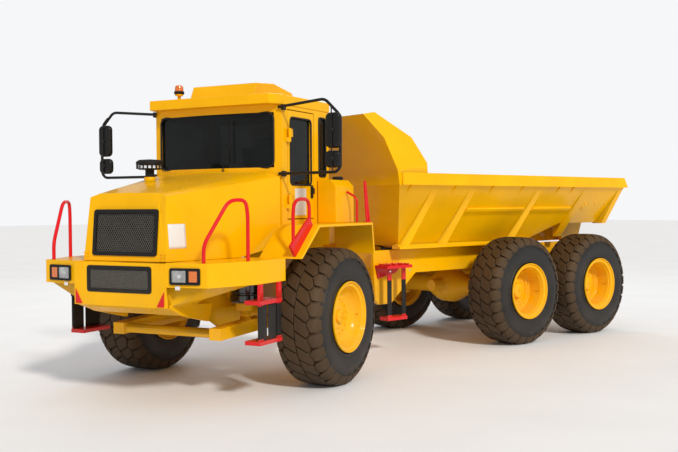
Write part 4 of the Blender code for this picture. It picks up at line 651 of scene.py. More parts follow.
def skin(node, work, material, bevel, segments=2):
    body = NODES[node]["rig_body"]
    piece = place(node + "_skin", work, material, body, bevel, Matrix(), True, segments, True)
    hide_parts(node)


def two_tone(node, low_cut, high_cut, bevel=0.003):
    """A hanging step: red brackets and rungs, with black straps between the two cuts."""
    work = whole_faces(node)
    for z in (low_cut, high_cut):
        everything = [*work.verts, *work.edges, *work.faces]
        bmesh.ops.bisect_plane(work, geom=everything, plane_co=(0, 0, z), plane_no=(0, 0, 1), dist=1e-5)
    for face in work.faces:
        face.material_index = int(low_cut < face.calc_center_median().z < high_cut)
    skin(node, work, (RED, SEAL), bevel)


two_tone("frame_step_left", 0.53, 0.985)
two_tone("frame_step_right", 0.53, 0.985)
two_tone("hanging_step_left", 0.66, 0.985)
two_tone("hanging_step_right", 0.66, 1.10)
FINISHES = (
    (YELLOW, "yellow", 0.007, (
        "rear_frame", "walking_beams", "articulation_hitch", "front_frame", "front_fascia",
        "cab_shell", "cab_roof", "roof_unit", "mudguard_left", "mudguard_right", "hydraulic_tank",
        "fuel_tank", "hood", "cab_door", "hoist_barrel_left", "hoist_barrel_right", "dump_body",
        "steering_barrel_left", "steering_barrel_right",
    )),
    (BLACK, "black", 0.004, ("steering_wheel",)),
    (YELLOW, "yellow", 0.006, ("front_axle", "mid_axle", "rear_axle")),
    (IRON, "iron", 0.006, ("engine",)),
    (STEEL, "steel", 0.003, (
        "hoist_rod_left", "hoist_rod_right", "steering_rod_left", "steering_rod_right",
    )),
)
for material, slot, bevel, names in FINISHES:
    for name in names:
        skin(name, whole_faces(name), material, bevel)
print("dressed", sum(len(names) for *_, names in FINISHES), "nodes")

# %% [markdown]
# ## Tyres
#
# The tyres are 1.5 m earthmover tyres. A smooth casing carries two rings of tread on each half:
# slanted centre lugs, and five-sided shoulder lugs whose points reach in between them. Array and
# Curve modifiers could bend a flat tread round, but they smear the lugs on the shoulder. Here
# each kind of lug is written once, flat, as stations across the width, and then wrapped round
# the casing 28 times. The two halves are staggered by half a pitch.

# %% The tyre's outline
TYRE_RADIUS = 0.753
PITCHES = 28
PITCH = 2 * math.pi * TYRE_RADIUS / PITCHES
CASING = (
    (0.200, 0.3440), (0.222, 0.350), (0.246, 0.372), (0.256, 0.396), (0.264, 0.404),
    (0.264, 0.420), (0.257, 0.430), (0.266, 0.470), (0.2715, 0.520), (0.2735, 0.560),
    (0.2725, 0.596), (0.2700, 0.6060), (0.2735, 0.6085), (0.2735, 0.6135), (0.2690, 0.617),
    (0.264, 0.642), (0.256, 0.664), (0.243, 0.684), (0.224, 0.699), (0.190, 0.7125),
    (0.150, 0.720), (0.100, 0.7245), (0.050, 0.7265), (0.000, 0.727),
)
CROWN_X = (0.0, 0.11, 0.17, 0.205, 0.236, 0.254, 0.265, 0.272)
CROWN_R = (0.753, 0.752, 0.748, 0.741, 0.722, 0.697, 0.668, 0.646)
UNDER_TREAD = CASING[:-10:-1]
CASING_X = [x for x, _ in UNDER_TREAD]
CASING_R = [r for _, r in UNDER_TREAD]
SLANT = 0.62
SLANT_START, SLANT_END = -0.15, 0.03
LUG_EDGES = ((0.0045, 0.0045), (0.0075, 1.0))
LUG_FOOT = 0.004
LUG_COLUMNS = 3
CASING_STEPS = 4 * PITCHES
CROWN_FROM = 16
TYRE_SHARP, RIM_SHARP = math.radians(33), math.radians(36)
CENTRE_LUG = (
    (0.010, -0.069, 0.069), (0.060, -0.069, 0.069), (0.110, -0.069, 0.069), (0.134, -0.067, 0.067),
    (0.162, -0.020, 0.020),
)
SHOULDER_LUG = (
    (0.156, -0.010, 0.010), (0.184, -0.058, 0.058), (0.205, -0.066, 0.066), (0.232, -0.066, 0.066),
    (0.250, -0.064, 0.064), (0.262, -0.058, 0.058), (0.268, -0.050, 0.050),
)
print("each lug ring repeats every", round(PITCH * 1000), "mm")

# %% [markdown]
# ## Lugs
#
# A lug's plan is a list of stations: a place across the tyre and the two ends of the lug there.
# Its border is then pushed out twice, a little for the worn edge and down to the casing for the
# wall, which gives the flared sides that throw mud off. Slanting and wrapping come last.


# %% Lay out a lug and wrap it
def round_steps(profile, steps):
    """A ring of the profile at each step, as points with X along the axle."""
    angles = np.linspace(0, 2 * np.pi, steps, endpoint=False)
    x, r = np.array(profile).T
    points = np.empty((steps, len(x), 3))
    points[..., 0] = x
    points[..., 1] = -r * np.cos(angles)[:, None]
    points[..., 2] = r * np.sin(angles)[:, None]
    return points


def lug(stations, across):
    """A lug's points as (x, arc, drop) and its faces. stations: (x, low arc, high arc)."""
    count = len(stations)
    grid = []
    for x, low, high in stations:
        for step in range(across + 1):
            grid.append((x, low + (high - low) * step / across, 0.0))
    faces = []
    wide = across + 1
    for i in range(count - 1):
        for j in range(across):
            a = i * wide + j
            faces.append((a, a + 1, a + wide + 1, a + wide))
    border = list(range(wide))
    border += [i * wide + across for i in range(1, count)]
    border += [(count - 1) * wide + j for j in range(across - 1, -1, -1)]
    border += [i * wide for i in range(count - 2, 0, -1)]
    points = list(grid)
    centre = np.mean([grid[k][:2] for k in border], axis=0)
    last = border
    for grow, drop in LUG_EDGES:
        ring = []
        for k in border:
            away = np.array(grid[k][:2]) - centre
            away = away / np.linalg.norm(away)
            ring.append(len(points))
            points.append((grid[k][0] + away[0] * grow, grid[k][1] + away[1] * grow, drop))
        for i in range(len(border)):
            after = (i + 1) % len(border)
            faces.append((last[i], ring[i], ring[after], last[after]))
        last = ring
    return np.array(points), np.array(faces)


def wrapped(points, arc, mirror):
    """The flat lug on the tyre at an arc length. A drop of 1 means down to the casing."""
    x, along, drop = points.T
    top = np.interp(x, CROWN_X, CROWN_R) - np.where(drop < 1, drop, 0)
    base = np.interp(x, CASING_X, CASING_R) - LUG_FOOT
    radius = np.where(drop < 1, top, base)
    slant = -SLANT if mirror else SLANT
    angle = (along + arc - slant * np.clip(x - 0.15, SLANT_START, SLANT_END)) / TYRE_RADIUS
    side = -x if mirror else x
    return np.c_[side, -radius * np.cos(angle), radius * np.sin(angle)]


print("slanted lugs lean by", SLANT, "along the tyre for each metre across")

# %% [markdown]
# ## One tyre for three wheels
#
# The casing and all its lugs go into one mesh, with the wall rubber on the sides and the tread
# rubber on the crown. Wheels on the same side share it, so six wheels cost two meshes, and the
# right-hand mesh is the left one mirrored.


# %% Build the tyres and hang them on the wheels
def tyre_mesh(name, side):
    points, faces, tread = [], [], []
    outline = list(CASING) + [(-x, r) for x, r in CASING[-2::-1]]
    wide = len(outline)
    points.append(round_steps(outline, CASING_STEPS).reshape(-1, 3))
    for step in range(CASING_STEPS):
        a, b = step * wide, ((step + 1) % CASING_STEPS) * wide
        for k in range(wide):
            after = (k + 1) % wide
            faces.append((a + k, b + k, b + after, a + after))
            tread.append(int(CROWN_FROM <= k <= wide - 2 - CROWN_FROM))
    count = CASING_STEPS * wide
    half = PITCH / 2
    kinds = [(lug(CENTRE_LUG, LUG_COLUMNS), half), (lug(SHOULDER_LUG, LUG_COLUMNS), 0.0)]
    for mirror in (False, True):
        for (flat, shape), start in kinds:
            for pitch in range(PITCHES):
                arc = start + pitch * PITCH + (half if mirror else 0)
                points.append(wrapped(flat, arc, mirror))
                faces += [tuple(face[::-1] if mirror else face) for face in (shape + count).tolist()]
                tread += [1] * len(shape)
                count += len(flat)
    places = np.concatenate(points)
    if side < 0:
        places[:, 0] *= -1
    mesh = bpy.data.meshes.new(name)
    mesh.from_pydata(places.tolist(), [], faces)
    mesh.materials.append(WALL_RUBBER)
    mesh.materials.append(RUBBER)
    mesh.polygons.foreach_set("material_index", tread)
    work = bmesh.new()
    work.from_mesh(mesh)
    bmesh.ops.recalc_face_normals(work, faces=work.faces)
    work.to_mesh(mesh)
    work.free()
    mesh.shade_smooth()
    mesh.set_sharp_from_angle(angle=TYRE_SHARP)
    return mesh


TYRES = {"left": tyre_mesh("tyre_left", 1), "right": tyre_mesh("tyre_right", -1)}


def wheel_matrix(joint):
    axis = Vector(JOINTS[joint]["axis"])
    return Matrix.Translation(JOINTS[joint]["pos_m"]) @ Matrix.Rotation(math.atan2(axis.y, axis.x), 4, "Z")


def mounted(name, mesh, matrix, body, replaced):
    piece = bpy.data.objects.new(name, mesh)
    bpy.context.scene.collection.objects.link(piece)
    piece.matrix_world = matrix
    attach(piece, body)
    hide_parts(replaced)


for axle in ("front", "mid", "rear"):
    for side_name, side in both_sides():
        body = f"{axle}_wheel_{side_name}"
        where = wheel_matrix(body + "_spin")
        mounted(f"{body}_tread", TYRES[side_name], where, body, f"{axle}_tyre_{side_name}")
print("one tyre has", len(TYRES["left"].polygons), "faces")

# %% [markdown]
# ## Rims
#
# A rim is rolled and welded from plate: a rounded flange holds the bead, a lock ring lies inside
# it, and a dish carries the nuts. The front dish stands nearly flush. The rear dishes lie deep in
# the barrel, with a second ring of bolts. A rim is round all over, so one profile from the hub to
# the flange and back inside is turned about the axle, and rings of bolts are added to it.

# %% Profiles of the rims
RIM_LIP = [
    (0.205, 0.3150), (0.222, 0.3180), (0.226, 0.3250), (0.250, 0.3300), (0.262, 0.3380),
    (0.266, 0.3640), (0.274, 0.3700), (0.284, 0.3720), (0.2905, 0.3780), (0.2900, 0.3860),
    (0.284, 0.3890), (0.270, 0.3880), (0.258, 0.3720), (0.240, 0.3520), (0.215, 0.3440),
]
FRONT_DISH = [
    (0.176, 0.0), (0.176, 0.060), (0.168, 0.072), (0.138, 0.076), (0.138, 0.128), (0.130, 0.136),
    (0.128, 0.238), (0.134, 0.250), (0.158, 0.272),
]
REAR_DISH = [
    (0.090, 0.0), (0.090, 0.085), (0.080, 0.100), (0.030, 0.112), (0.022, 0.150), (-0.004, 0.156),
    (-0.006, 0.246), (0.012, 0.252), (0.014, 0.286), (0.028, 0.292), (0.040, 0.305),
]
RIM_BACK = [
    (-0.215, 0.3440), (-0.240, 0.3520), (-0.258, 0.3720), (-0.270, 0.3880), (-0.284, 0.3890),
    (-0.290, 0.3780), (-0.266, 0.3640), (-0.256, 0.3380), (-0.200, 0.3180), (-0.060, 0.3000),
    (-0.060, 0.2000), (-0.060, 0.0),
]
HUB_NUTS = 6
WHEEL_NUTS = 16
LOCK_BOLTS = 24
print("rim flange radius", max(radius for _, radius in RIM_LIP), "m")


# %% Build the rims and hang them on the wheels
def bolt_ring(work, x, radius, count, size, first=0.0, washer=True):
    """Bolts round the axle, with heads that face along X."""
    for index in range(count):
        angle = 2 * math.pi * (index + first) / count
        add_bolt(work, (x, radius * math.cos(angle), radius * math.sin(angle)), (1, 0, 0), size, washer)


def rim_mesh(name, side, front):
    work = bmesh.new()
    dish = FRONT_DISH if front else REAR_DISH
    hub_x = dish[0][0]
    add_turned(work, dish + RIM_LIP + RIM_BACK, (0, 0, 0), (1, 0, 0), 72)
    if front:
        bolt_ring(work, 0.128, 0.192, WHEEL_NUTS, 0.0145, 0.5)
    else:
        bolt_ring(work, -0.006, 0.200, WHEEL_NUTS, 0.0145, 0.5)
        bolt_ring(work, 0.013, 0.269, LOCK_BOLTS, 0.009)
    bolt_ring(work, hub_x, 0.042, HUB_NUTS, 0.007, washer=False)
    plug = [(0, 0.014), (0.012, 0.014), (0.014, 0.010), (0.016, 0.0)]
    add_turned(work, plug, (hub_x, 0, 0), (1, 0, 0), 12)
    valve = [(0.16, 0.296, 0), (0.20, 0.302, 0), (0.235, 0.300, 0.0)]
    add_tube(work, rounded_path(valve, 0.01), 0.005, 8)
    bmesh.ops.scale(work, vec=(side, 1, 1), verts=work.verts)
    bmesh.ops.recalc_face_normals(work, faces=work.faces)
    mesh = bpy.data.meshes.new(name)
    work.to_mesh(mesh)
    work.free()
    mesh.materials.append(YELLOW)
    mesh.shade_smooth()
    mesh.set_sharp_from_angle(angle=RIM_SHARP)
    return mesh


for side_name, side in both_sides():
    front_rim = rim_mesh("rim_front_" + side_name, side, True)
    rear_rim = rim_mesh("rim_rear_" + side_name, side, False)
    for axle, mesh in (("front", front_rim), ("mid", rear_rim), ("rear", rear_rim)):
        body = f"{axle}_wheel_{side_name}"
        where = wheel_matrix(body + "_spin")
        mounted(f"{body}_rim_skin", mesh, where, body, f"{axle}_rim_{side_name}")
print("six rims")

# %% [markdown]
# ## Grilles
#
# A black frame holds a steel mesh in front of the cooler. A picture of a mesh would look flat in
# side light, so the mesh is modelled: two sets of slanted wires, which cross as in expanded
# metal. A plate of fins lies behind it, and bolts hold the frame.

# %% Grilles
WIRE_LEAN = 0.62
FIN_PITCH = 0.012


def clipped_wires(half_x, half_y, spacing, lean):
    """Ends of slanted wires that fill a rectangle, leaning to one side."""
    made = []
    reach = half_y * lean
    across = -half_x - abs(reach)
    while across < half_x + abs(reach):
        x0, y0, x1, y1 = across - reach, -half_y, across + reach, half_y
        pair = []
        for x, y, other_x, other_y in ((x0, y0, x1, y1), (x1, y1, x0, y0)):
            if abs(x) > half_x:
                limit = math.copysign(half_x, x)
                share = (limit - other_x) / (x - other_x) if x != other_x else 2
                if not 0 <= share <= 1:
                    pair = []
                    break
                x, y = limit, other_y + (y - other_y) * share
            pair.append((x, y))
        if len(pair) == 2 and math.dist(*pair) > 0.01:
            made.append(pair)
        across += spacing
    return made


def grille(node, body, centre, outward, half_x, half_y, spacing, proud):
    at = facing(centre, outward)
    work = bmesh.new()
    outer = rounded_rectangle(half_x + 0.008, half_y + 0.008, 0.030)
    inner = rounded_rectangle(half_x - 0.030, half_y - 0.030, 0.024)
    add_frame(work, shifted(at, z=-0.010), outer, inner, 0.010 + proud)
    for row in (-1, 1):
        for column in (-1, 0, 1):
            spot = at @ Vector((column * (half_x - 0.10), row * (half_y - 0.012), proud))
            add_bolt(work, spot, at.to_3x3().col[2], 0.0065)
    frame_piece = place(node + "_frame", work, BLACK, body, 0.003)
    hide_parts(node)
    work = bmesh.new()
    for lean, height in ((WIRE_LEAN, 0.0), (-WIRE_LEAN, 0.0035)):
        for (x0, y0), (x1, y1) in clipped_wires(half_x - 0.03, half_y - 0.03, spacing, lean):
            start, end = at @ Vector((x0, y0, height)), at @ Vector((x1, y1, height))
            add_turned(work, [(0, 0.0024), ((end - start).length, 0.0024)], start, end - start, 5)
    place(node + "_wires", work, MESH, body)
    work = bmesh.new()
    backing = rounded_rectangle(half_x - 0.012, half_y - 0.012, 0.03)
    add_plate(work, shifted(at, z=-0.0135), backing, 0.004)
    x = -half_x + 0.03
    while x < half_x - 0.03:
        add_box(work, (x, -half_y + 0.03, -0.0095), (x + 0.003, half_y - 0.03, -0.004), at)
        x += FIN_PITCH
    place(node + "_fins", work, MATT, body, smooth=False)


low, high = local_box("upper_grille", FRONT)
lean_back = (high.y - low.y - 0.016) / (high.z - low.z)
_, y, z = (low + high) / 2
half_x, _, half_z = (high - low) / 2
grille("upper_grille", "engine_hood", (0, y - 0.004, z), (0, -1, lean_back), half_x, half_z, 0.026, 0.019)
low, high = local_box("lower_grille", FRONT)
z = (low.z + high.z) / 2
half_x, _, half_z = (high - low) / 2
grille("lower_grille", "front_unit", (0, low.y - 0.006, z), (0, -1, 0), half_x, half_z, 0.016, 0.012)
print("upper grille leans back by", round(lean_back, 3))

# %% [markdown]
# ## Lamps
#
# Each lamp unit is a black housing let into the box beside the nose: a square headlamp with a
# bright dish and bulb inboard, and an amber turn signal outboard. A painted disc would stay dull,
# so the dish is a turned metal bowl behind a real pane, which catches the light as a lamp does.
# The face of the box is swept back, and all parts of the lamp stand on its axes.


# %% Headlamps and markers
SWEPT = (0.1366, -0.99)
HEAD_X, SIGNAL_X = 0.062, 0.086


def lamp_housing(work, at, head_x, signal_x):
    half_x, half_y = 0.160, 0.0785
    rim = rounded_rectangle(half_x, half_y, 0.016)
    add_frame(work, at, rim, rounded_rectangle(half_x - 0.014, half_y - 0.014, 0.010), 0.012)
    outer, inner = rounded_rectangle(0.084, 0.066, 0.008), rounded_rectangle(0.073, 0.055, 0.007)
    add_frame(work, shifted(at, head_x, z=0.001), outer, inner, 0.011)
    outer, inner = rounded_rectangle(0.062, 0.066, 0.008), rounded_rectangle(0.044, 0.052, 0.007)
    add_frame(work, shifted(at, signal_x, z=0.001), outer, inner, 0.010)
    add_plate(work, shifted(at, z=-0.006), rounded_rectangle(half_x - 0.01, half_y - 0.01, 0.01), 0.006)


def lamp_unit(side_name, side):
    swept = (side * SWEPT[0], SWEPT[1], 0)
    at = facing((side * 0.769, -3.5335, 1.3065), swept)
    inboard = 1 if at.to_3x3().col[0].x * side < 0 else -1
    head_x, signal_x = inboard * HEAD_X, -inboard * SIGNAL_X
    work = bmesh.new()
    lamp_housing(work, at, head_x, signal_x)
    place("lamp_housing_" + side_name, work, MATT, "front_unit", 0.002)
    work = bmesh.new()
    out = at.to_3x3() @ Vector((0, 0, 1))
    dish_at = at @ Vector((head_x, 0, 0.0005))
    dish = [(0.0012, 0.052), (0.0085, 0.052), (0.0085, 0.047), (0.003, 0.020), (0.003, 0.0)]
    add_plate(work, shifted(at, head_x, z=0.0003), rounded_rectangle(0.072, 0.054, 0.006), 0.0012)
    add_turned(work, dish, dish_at, out, 32)
    place("lamp_dish_" + side_name, work, STEEL, "front_unit")
    work = bmesh.new()
    bulb = [(0.003, 0.019), (0.008, 0.018), (0.0105, 0.010), (0.011, 0.0)]
    add_turned(work, bulb, dish_at, out, 24)
    place("lamp_bulb_" + side_name, work, CLEAR, "front_unit")
    work = bmesh.new()
    add_plate(work, shifted(at, head_x, z=0.0115), rounded_rectangle(0.0725, 0.0545, 0.007), 0.0025)
    place("lamp_pane_" + side_name, work, LAMP_GLASS, "front_unit", 0.001)
    work = bmesh.new()
    add_plate(work, shifted(at, signal_x, z=0.001), rounded_rectangle(0.0435, 0.0515, 0.007), 0.009)
    place("turn_signal_" + side_name, work, AMBER, "front_unit", 0.003)
    work = bmesh.new()
    tag_at = facing((side * 0.690, -3.5432, 1.197), swept)
    add_plate(work, tag_at, rounded_rectangle(0.026, 0.018, 0.004), 0.0015)
    place("lamp_tag_" + side_name, work, WHITE, "front_unit")
    work = bmesh.new()
    x, z = side * 0.545, 1.012
    triangle = [(x, z), (x - side * 0.085, z), (x, z + 0.145)]
    ends = [[(px, y, pz) for px, pz in triangle] for y in (-3.5605, -3.5675)]
    add_prism(work, *ends)
    place("corner_reflector_" + side_name, work, RED, "front_unit", 0.0015)


for side_name, side in both_sides():
    lamp_unit(side_name, side)
print("lamps swept back by", round(math.degrees(math.atan(-SWEPT[0] / SWEPT[1]))), "degrees")

# %% [markdown]
# ## Handrails and mirrors
#
# Each side of the cab carries a loop of tube with a large mirror above a small one. A mirror is a
# moulded shell with a bright face. Sculpting a shell would be slow, and a bevelled box would look
# hard, so it is lofted: four rounded outlines, each smaller than the last, with walls between.
# The CAD's simple mirror gives way to these. The handrails only need their paint.

# %% Rails and mirrors
ARM_LOOP = [
    (0.826, -1.91, 3.03), (1.42, -1.96, 3.08), (1.60, -1.96, 2.90),
    (1.60, -1.96, 2.36), (1.55, -1.96, 2.31), (0.826, -1.91, 2.31),
]
STAY = [(1.53, -1.975, 2.31), (1.53, -2.024, 2.36), (1.53, -2.024, 2.94), (1.50, -1.97, 3.02)]
SHELL_STEPS = ((0.0, 0.0), (0.0, 0.030), (0.012, 0.048), (0.04, 0.058))


def mirrored(side, points):
    """The left side's points for either side."""
    return [(side * x, y, z) for x, y, z in points]


def mirror_head(name, side, centre_x, half_x, low_z, high_z):
    centre_z, half_z = (low_z + high_z) / 2, (high_z - low_z) / 2
    corner = min(0.055, half_z - 0.01)
    back = facing((side * centre_x, -1.955, centre_z), (0, -1, 0))
    work = bmesh.new()
    rings = []
    for inset, out in SHELL_STEPS:
        outline = rounded_rectangle(half_x - inset, half_z - inset, max(corner - inset, 0.01), 6)
        rings.append([work.verts.new(back @ Vector((x, z, out))) for x, z in outline])
    add_walls(work, rings)
    work.faces.new(rings[0][::-1])
    work.faces.new(rings[-1])
    place("mirror_shell_" + name, work, BLACK, "front_unit", 0.004)
    work = bmesh.new()
    face_at = facing((side * centre_x, -1.9545, centre_z), (0, 1, 0))
    outline = rounded_rectangle(half_x - 0.008, half_z - 0.008, corner - 0.008, 6)
    add_plate(work, face_at, outline, 0.003)
    place("mirror_face_" + name, work, MIRROR_GLASS, "front_unit")


for node in ("handrail_front_left", "handrail_front_right", "access_step"):
    skin(node, whole_faces(node), RED, 0.002, 1)
for side_name, side in both_sides():
    work = bmesh.new()
    add_tube(work, rounded_path(mirrored(side, ARM_LOOP), 0.05, 6), 0.016, 16)
    for z in (3.03, 2.31):
        add_box(work, (side * 0.852, -1.905, z - 0.03), (side * 0.876, -1.83, z + 0.03))
        for dz in (-0.018, 0.018):
            add_bolt(work, (side * 0.876, -1.845, z + dz), (side, 0, 0), 0.007)
    mirror = place("mirror_arms_" + side_name, work, BLACK, "front_unit", 0.002)
    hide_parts("mirror_" + side_name)
    mirror_head("large_" + side_name, side, 1.530, 0.090, 2.56, 2.93)
    mirror_head("small_" + side_name, side, 1.522, 0.092, 2.355, 2.535)
    work = bmesh.new()
    for z in (2.745, 2.445):
        add_rod(work, (side * 1.53, -2.030, z), (side * 1.53, -2.010, z), 0.024, 16)
        add_bolt(work, (side * 1.53, -2.030, z), (0, -1, 0), 0.010)
    add_tube(work, rounded_path(mirrored(side, STAY), 0.03), 0.007)
    place("mirror_stay_" + side_name, work, BLACK, "front_unit", 0.001)
print("a large and a small mirror on each side")

# %% [markdown]
# ## Cab glazing and fittings
#
# Rubber seals hold the panes. A seal could be a bevel on the pane, but it is a soft round cord on
# the real cab, so it is a tube along the pane's edge, and on the bowed windscreen it follows the
# bow. The panes are the CAD's own, with glass put on them. Then come the wiper, the door handle
# and a blank plate on the door.


# %% Cab fittings
DOOR_WALL = 0.8502


def seal(name, body, at, half_x, half_y, radius, bow=None):
    outline = rounded_rectangle(half_x, half_y, radius, 6)
    points = [at @ Vector((x, y, 0)) for x, y in outline]
    if bow:
        points = [Vector((p.x, bow(p.x), p.z)) for p in points]
    work = bmesh.new()
    add_tube(work, points + points[:2], 0.011, 8)
    place(name, work, SEAL, body)


def screen_bow(x):
    return -1.884 - 0.10 * (1 - (x / 0.85) ** 2)


for node in ("windscreen", "side_glass_right", "quarter_glass_left", "rear_glass", "door_glass"):
    NODES[node].data.materials.clear()
    NODES[node].data.materials.append(GLASS)
seal("windscreen_seal", "front_unit", facing((0, 0, 2.68), (0, -1, 0)), 0.758, 0.298, 0.075, screen_bow)
seal("door_seal", "door", facing((0.852, -1.47, 2.565), (1, 0, 0)), 0.236, 0.371, 0.05)
seal("quarter_seal", "front_unit", facing((0.852, -0.965, 2.64), (1, 0, 0)), 0.085, 0.340, 0.04)
seal("side_seal", "front_unit", facing((-0.852, -1.31, 2.63), (-1, 0, 0)), 0.39, 0.330, 0.05)
seal("rear_seal", "front_unit", facing((0, -0.798, 2.64), (0, 1, 0)), 0.705, 0.340, 0.05)

work = bmesh.new()
add_rod(work, (0.16, -1.975, 2.335), (0.16, -2.012, 2.345), 0.018, 12)
wiper_arm = [(0.16, -2.004, 2.345), (0.20, -2.008, 2.50), (0.27, -1.996, 2.66)]
add_tube(work, rounded_path(wiper_arm, 0.04), 0.006, 8)
add_box(work, (0.26, -1.994, 2.44), (0.276, -1.984, 2.90))
place("wiper", work, MATT, "front_unit", 0.0015)

work = bmesh.new()
handle_at = facing((DOOR_WALL, -1.225, 2.12), (1, 0, 0))
add_plate(work, handle_at, rounded_rectangle(0.028, 0.075, 0.012), 0.010)
add_box(work, (0.858, -1.250, 2.095), (0.882, -1.202, 2.165))
place("door_handle", work, MATT, "door", 0.004)

work = bmesh.new()
plate_at = facing((DOOR_WALL, -1.48, 2.005), (1, 0, 0))
add_plate(work, plate_at, rounded_rectangle(0.125, 0.150, 0.010), 0.0012)
place("door_plate", work, WHITE, "door")
print("five seals, a wiper, a door handle and a door plate")

# %% [markdown]
# ## Parts on the roof
#
# The beacon warns others that the truck is at work. It could be a plain cylinder, but a real lens
# narrows to a dome, so its profile is turned. Two small brackets stand at the back of the roof.

# %% Beacon and roof brackets
BEACON_X, BEACON_Y = -0.62, -1.74
work = bmesh.new()
base = [(0, 0.050), (0.006, 0.058), (0.030, 0.060), (0.036, 0.054)]
add_turned(work, base, (BEACON_X, BEACON_Y, 3.268), (0, 0, 1), 32)
place("beacon_base", work, MATT, "front_unit", 0.002)
work = bmesh.new()
dome = [(0, 0.050), (0.010, 0.052), (0.055, 0.047), (0.068, 0.036), (0.072, 0.0)]
add_turned(work, dome, (BEACON_X, BEACON_Y, 3.303), (0, 0, 1), 32)
place("beacon_lens", work, AMBER, "front_unit")
work = bmesh.new()
add_box(work, (0.10, -0.88, 3.345), (0.20, -0.82, 3.375))
add_box(work, (0.23, -0.90, 3.335), (0.28, -0.82, 3.365))
place("roof_brackets", work, MATT, "front_unit", 0.004)
print("beacon top at", round(3.303 + dome[-1][0], 3), "m")

# %% [markdown]
# ## The driver's seat
#
# The driver's seat is suspended: a bellows base, two foam cushions with bolsters, and a headrest.
# A cloth simulation could fill the cushions, but it is slow and hard to repeat. So each cushion
# is two sheets of points: a formula swells them in the middle, raises the bolsters at the sides
# and dips them along the stitched channels.

# %% Seat
CUSHION_POINTS = 21


def cushion_height(u, v, channels, lower):
    """Height of a sheet at u across and v along, both from -1 to 1."""
    edge = (1 - abs(u) ** 5) * (1 - abs(v) ** 5)
    swell = 0.5 * edge ** 0.5
    if lower:
        return -swell * 0.8
    bolster = 0.16 * math.exp(-((abs(u) - 0.82) / 0.16) ** 2)
    dip = sum(0.05 * math.exp(-((v - channel) / 0.05) ** 2) for channel in channels)
    return swell + (bolster - dip) * edge


def add_sheet(work, rows):
    """Faces between rows of vertices."""
    for near, far in zip(rows, rows[1:]):
        for j in range(len(near) - 1):
            work.faces.new((near[j], far[j], far[j + 1], near[j + 1]))


def cushion(name, half_x, half_y, thick, matrix, channels):
    """A padded box: X across, Y along, Z thick."""
    work = bmesh.new()
    grid = [2 * i / (CUSHION_POINTS - 1) - 1 for i in range(CUSHION_POINTS)]
    for lower in (False, True):
        rows = []
        for u in grid:
            row = []
            for v in grid:
                pinch = 1 - 0.02 * (abs(v) ** 4)
                height = cushion_height(u, v, channels, lower) * thick
                row.append(work.verts.new(matrix @ Vector((u * half_x * pinch, v * half_y, height))))
            rows.append(row)
        add_sheet(work, rows)
    bmesh.ops.remove_doubles(work, verts=work.verts, dist=0.0008)
    piece = place(name, work, CLOTH, "front_unit")


upright = Matrix.Rotation(math.radians(-80), 4, "X")
cushion("seat_cushion", 0.245, 0.235, 0.16, Matrix.Translation((0, -1.225, 2.005)), (-0.35, 0.1, 0.5))
cushion("seat_back", 0.235, 0.27, 0.13, Matrix.Translation((0, -0.965, 2.40)) @ upright, (-0.4, 0.0, 0.4))
cushion("seat_headrest", 0.13, 0.075, 0.10, Matrix.Translation((0, -0.925, 2.715)) @ upright, ())
work = bmesh.new()
add_plate(work, Matrix.Translation((0, -1.21, 1.552)), rounded_rectangle(0.20, 0.20, 0.03), 0.03)
for fold in range(6):
    z = 1.585 + fold * 0.05
    add_plate(work, Matrix.Translation((0, -1.21, z)), rounded_rectangle(0.17, 0.17, 0.03), 0.024)
    add_plate(work, Matrix.Translation((0, -1.21, z + 0.024)), rounded_rectangle(0.15, 0.15, 0.03), 0.026)
add_plate(work, Matrix.Translation((0, -1.22, 1.885)), rounded_rectangle(0.22, 0.22, 0.04), 0.05)
for x in (-0.05, 0.05):
    add_rod(work, (x, -0.945, 2.58), (x, -0.93, 2.68), 0.007)
for x in (-0.235, 0.235):
    add_tube(work, rounded_path([(x, -1.04, 1.92), (x, -0.93, 2.05), (x, -0.905, 2.40)], 0.06), 0.014)
seat_base = place("seat_base", work, MATT, "front_unit", 0.004)
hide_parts("seat")
print("seat on its bellows")

# %% [markdown]
# ## Air intake on the hood
#
# The intake is a clear bowl under a black rain cap, with a ring of slats between them that lets
# the air in. The CAD has one solid cylinder there. A picture of slats would not let light
# through, so the slats are small boxes set round a circle.

# %% Air cleaner
INTAKE_X, INTAKE_Y = -0.36, -2.62
SLATS = 18
work = bmesh.new()
neck = [(0, 0.048), (0.075, 0.048), (0.078, 0.118), (0.090, 0.128)]
add_turned(work, neck, (INTAKE_X, INTAKE_Y, 2.281), (0, 0, 1), 40)
rain_cap = [(0, 0.142), (0.004, 0.1455), (0.030, 0.1455), (0.050, 0.115), (0.056, 0.030), (0.058, 0.0)]
add_turned(work, rain_cap, (INTAKE_X, INTAKE_Y, 2.412), (0, 0, 1), 40)
for index in range(SLATS):
    angle = 2 * math.pi * index / SLATS
    x, y = INTAKE_X + 0.136 * math.cos(angle), INTAKE_Y + 0.136 * math.sin(angle)
    add_box(work, (x - 0.005, y - 0.005, 2.366), (x + 0.005, y + 0.005, 2.414))
cap = place("air_cleaner_skin", work, MATT, "engine_hood", 0.002)
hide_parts("air_cleaner")
work = bmesh.new()
bowl = [(0, 0.100), (0.004, 0.122), (0.034, 0.124), (0.038, 0.110)]
add_turned(work, bowl, (INTAKE_X, INTAKE_Y, 2.368), (0, 0, 1), 40)
place("air_cleaner_bowl", work, LAMP_GLASS, "engine_hood")
print("air intake with", SLATS, "slats")

# %% [markdown]
# ## Plates on the hood
#
# A blank plate lies on each side of the hood, where a maker would put a name. The hood's sides
# taper and bulge, so a flat plate would sink in at one corner. A Shrinkwrap modifier could bend
# it, but here each point is dropped onto the CAD surface by a ray, and a thickness is added.


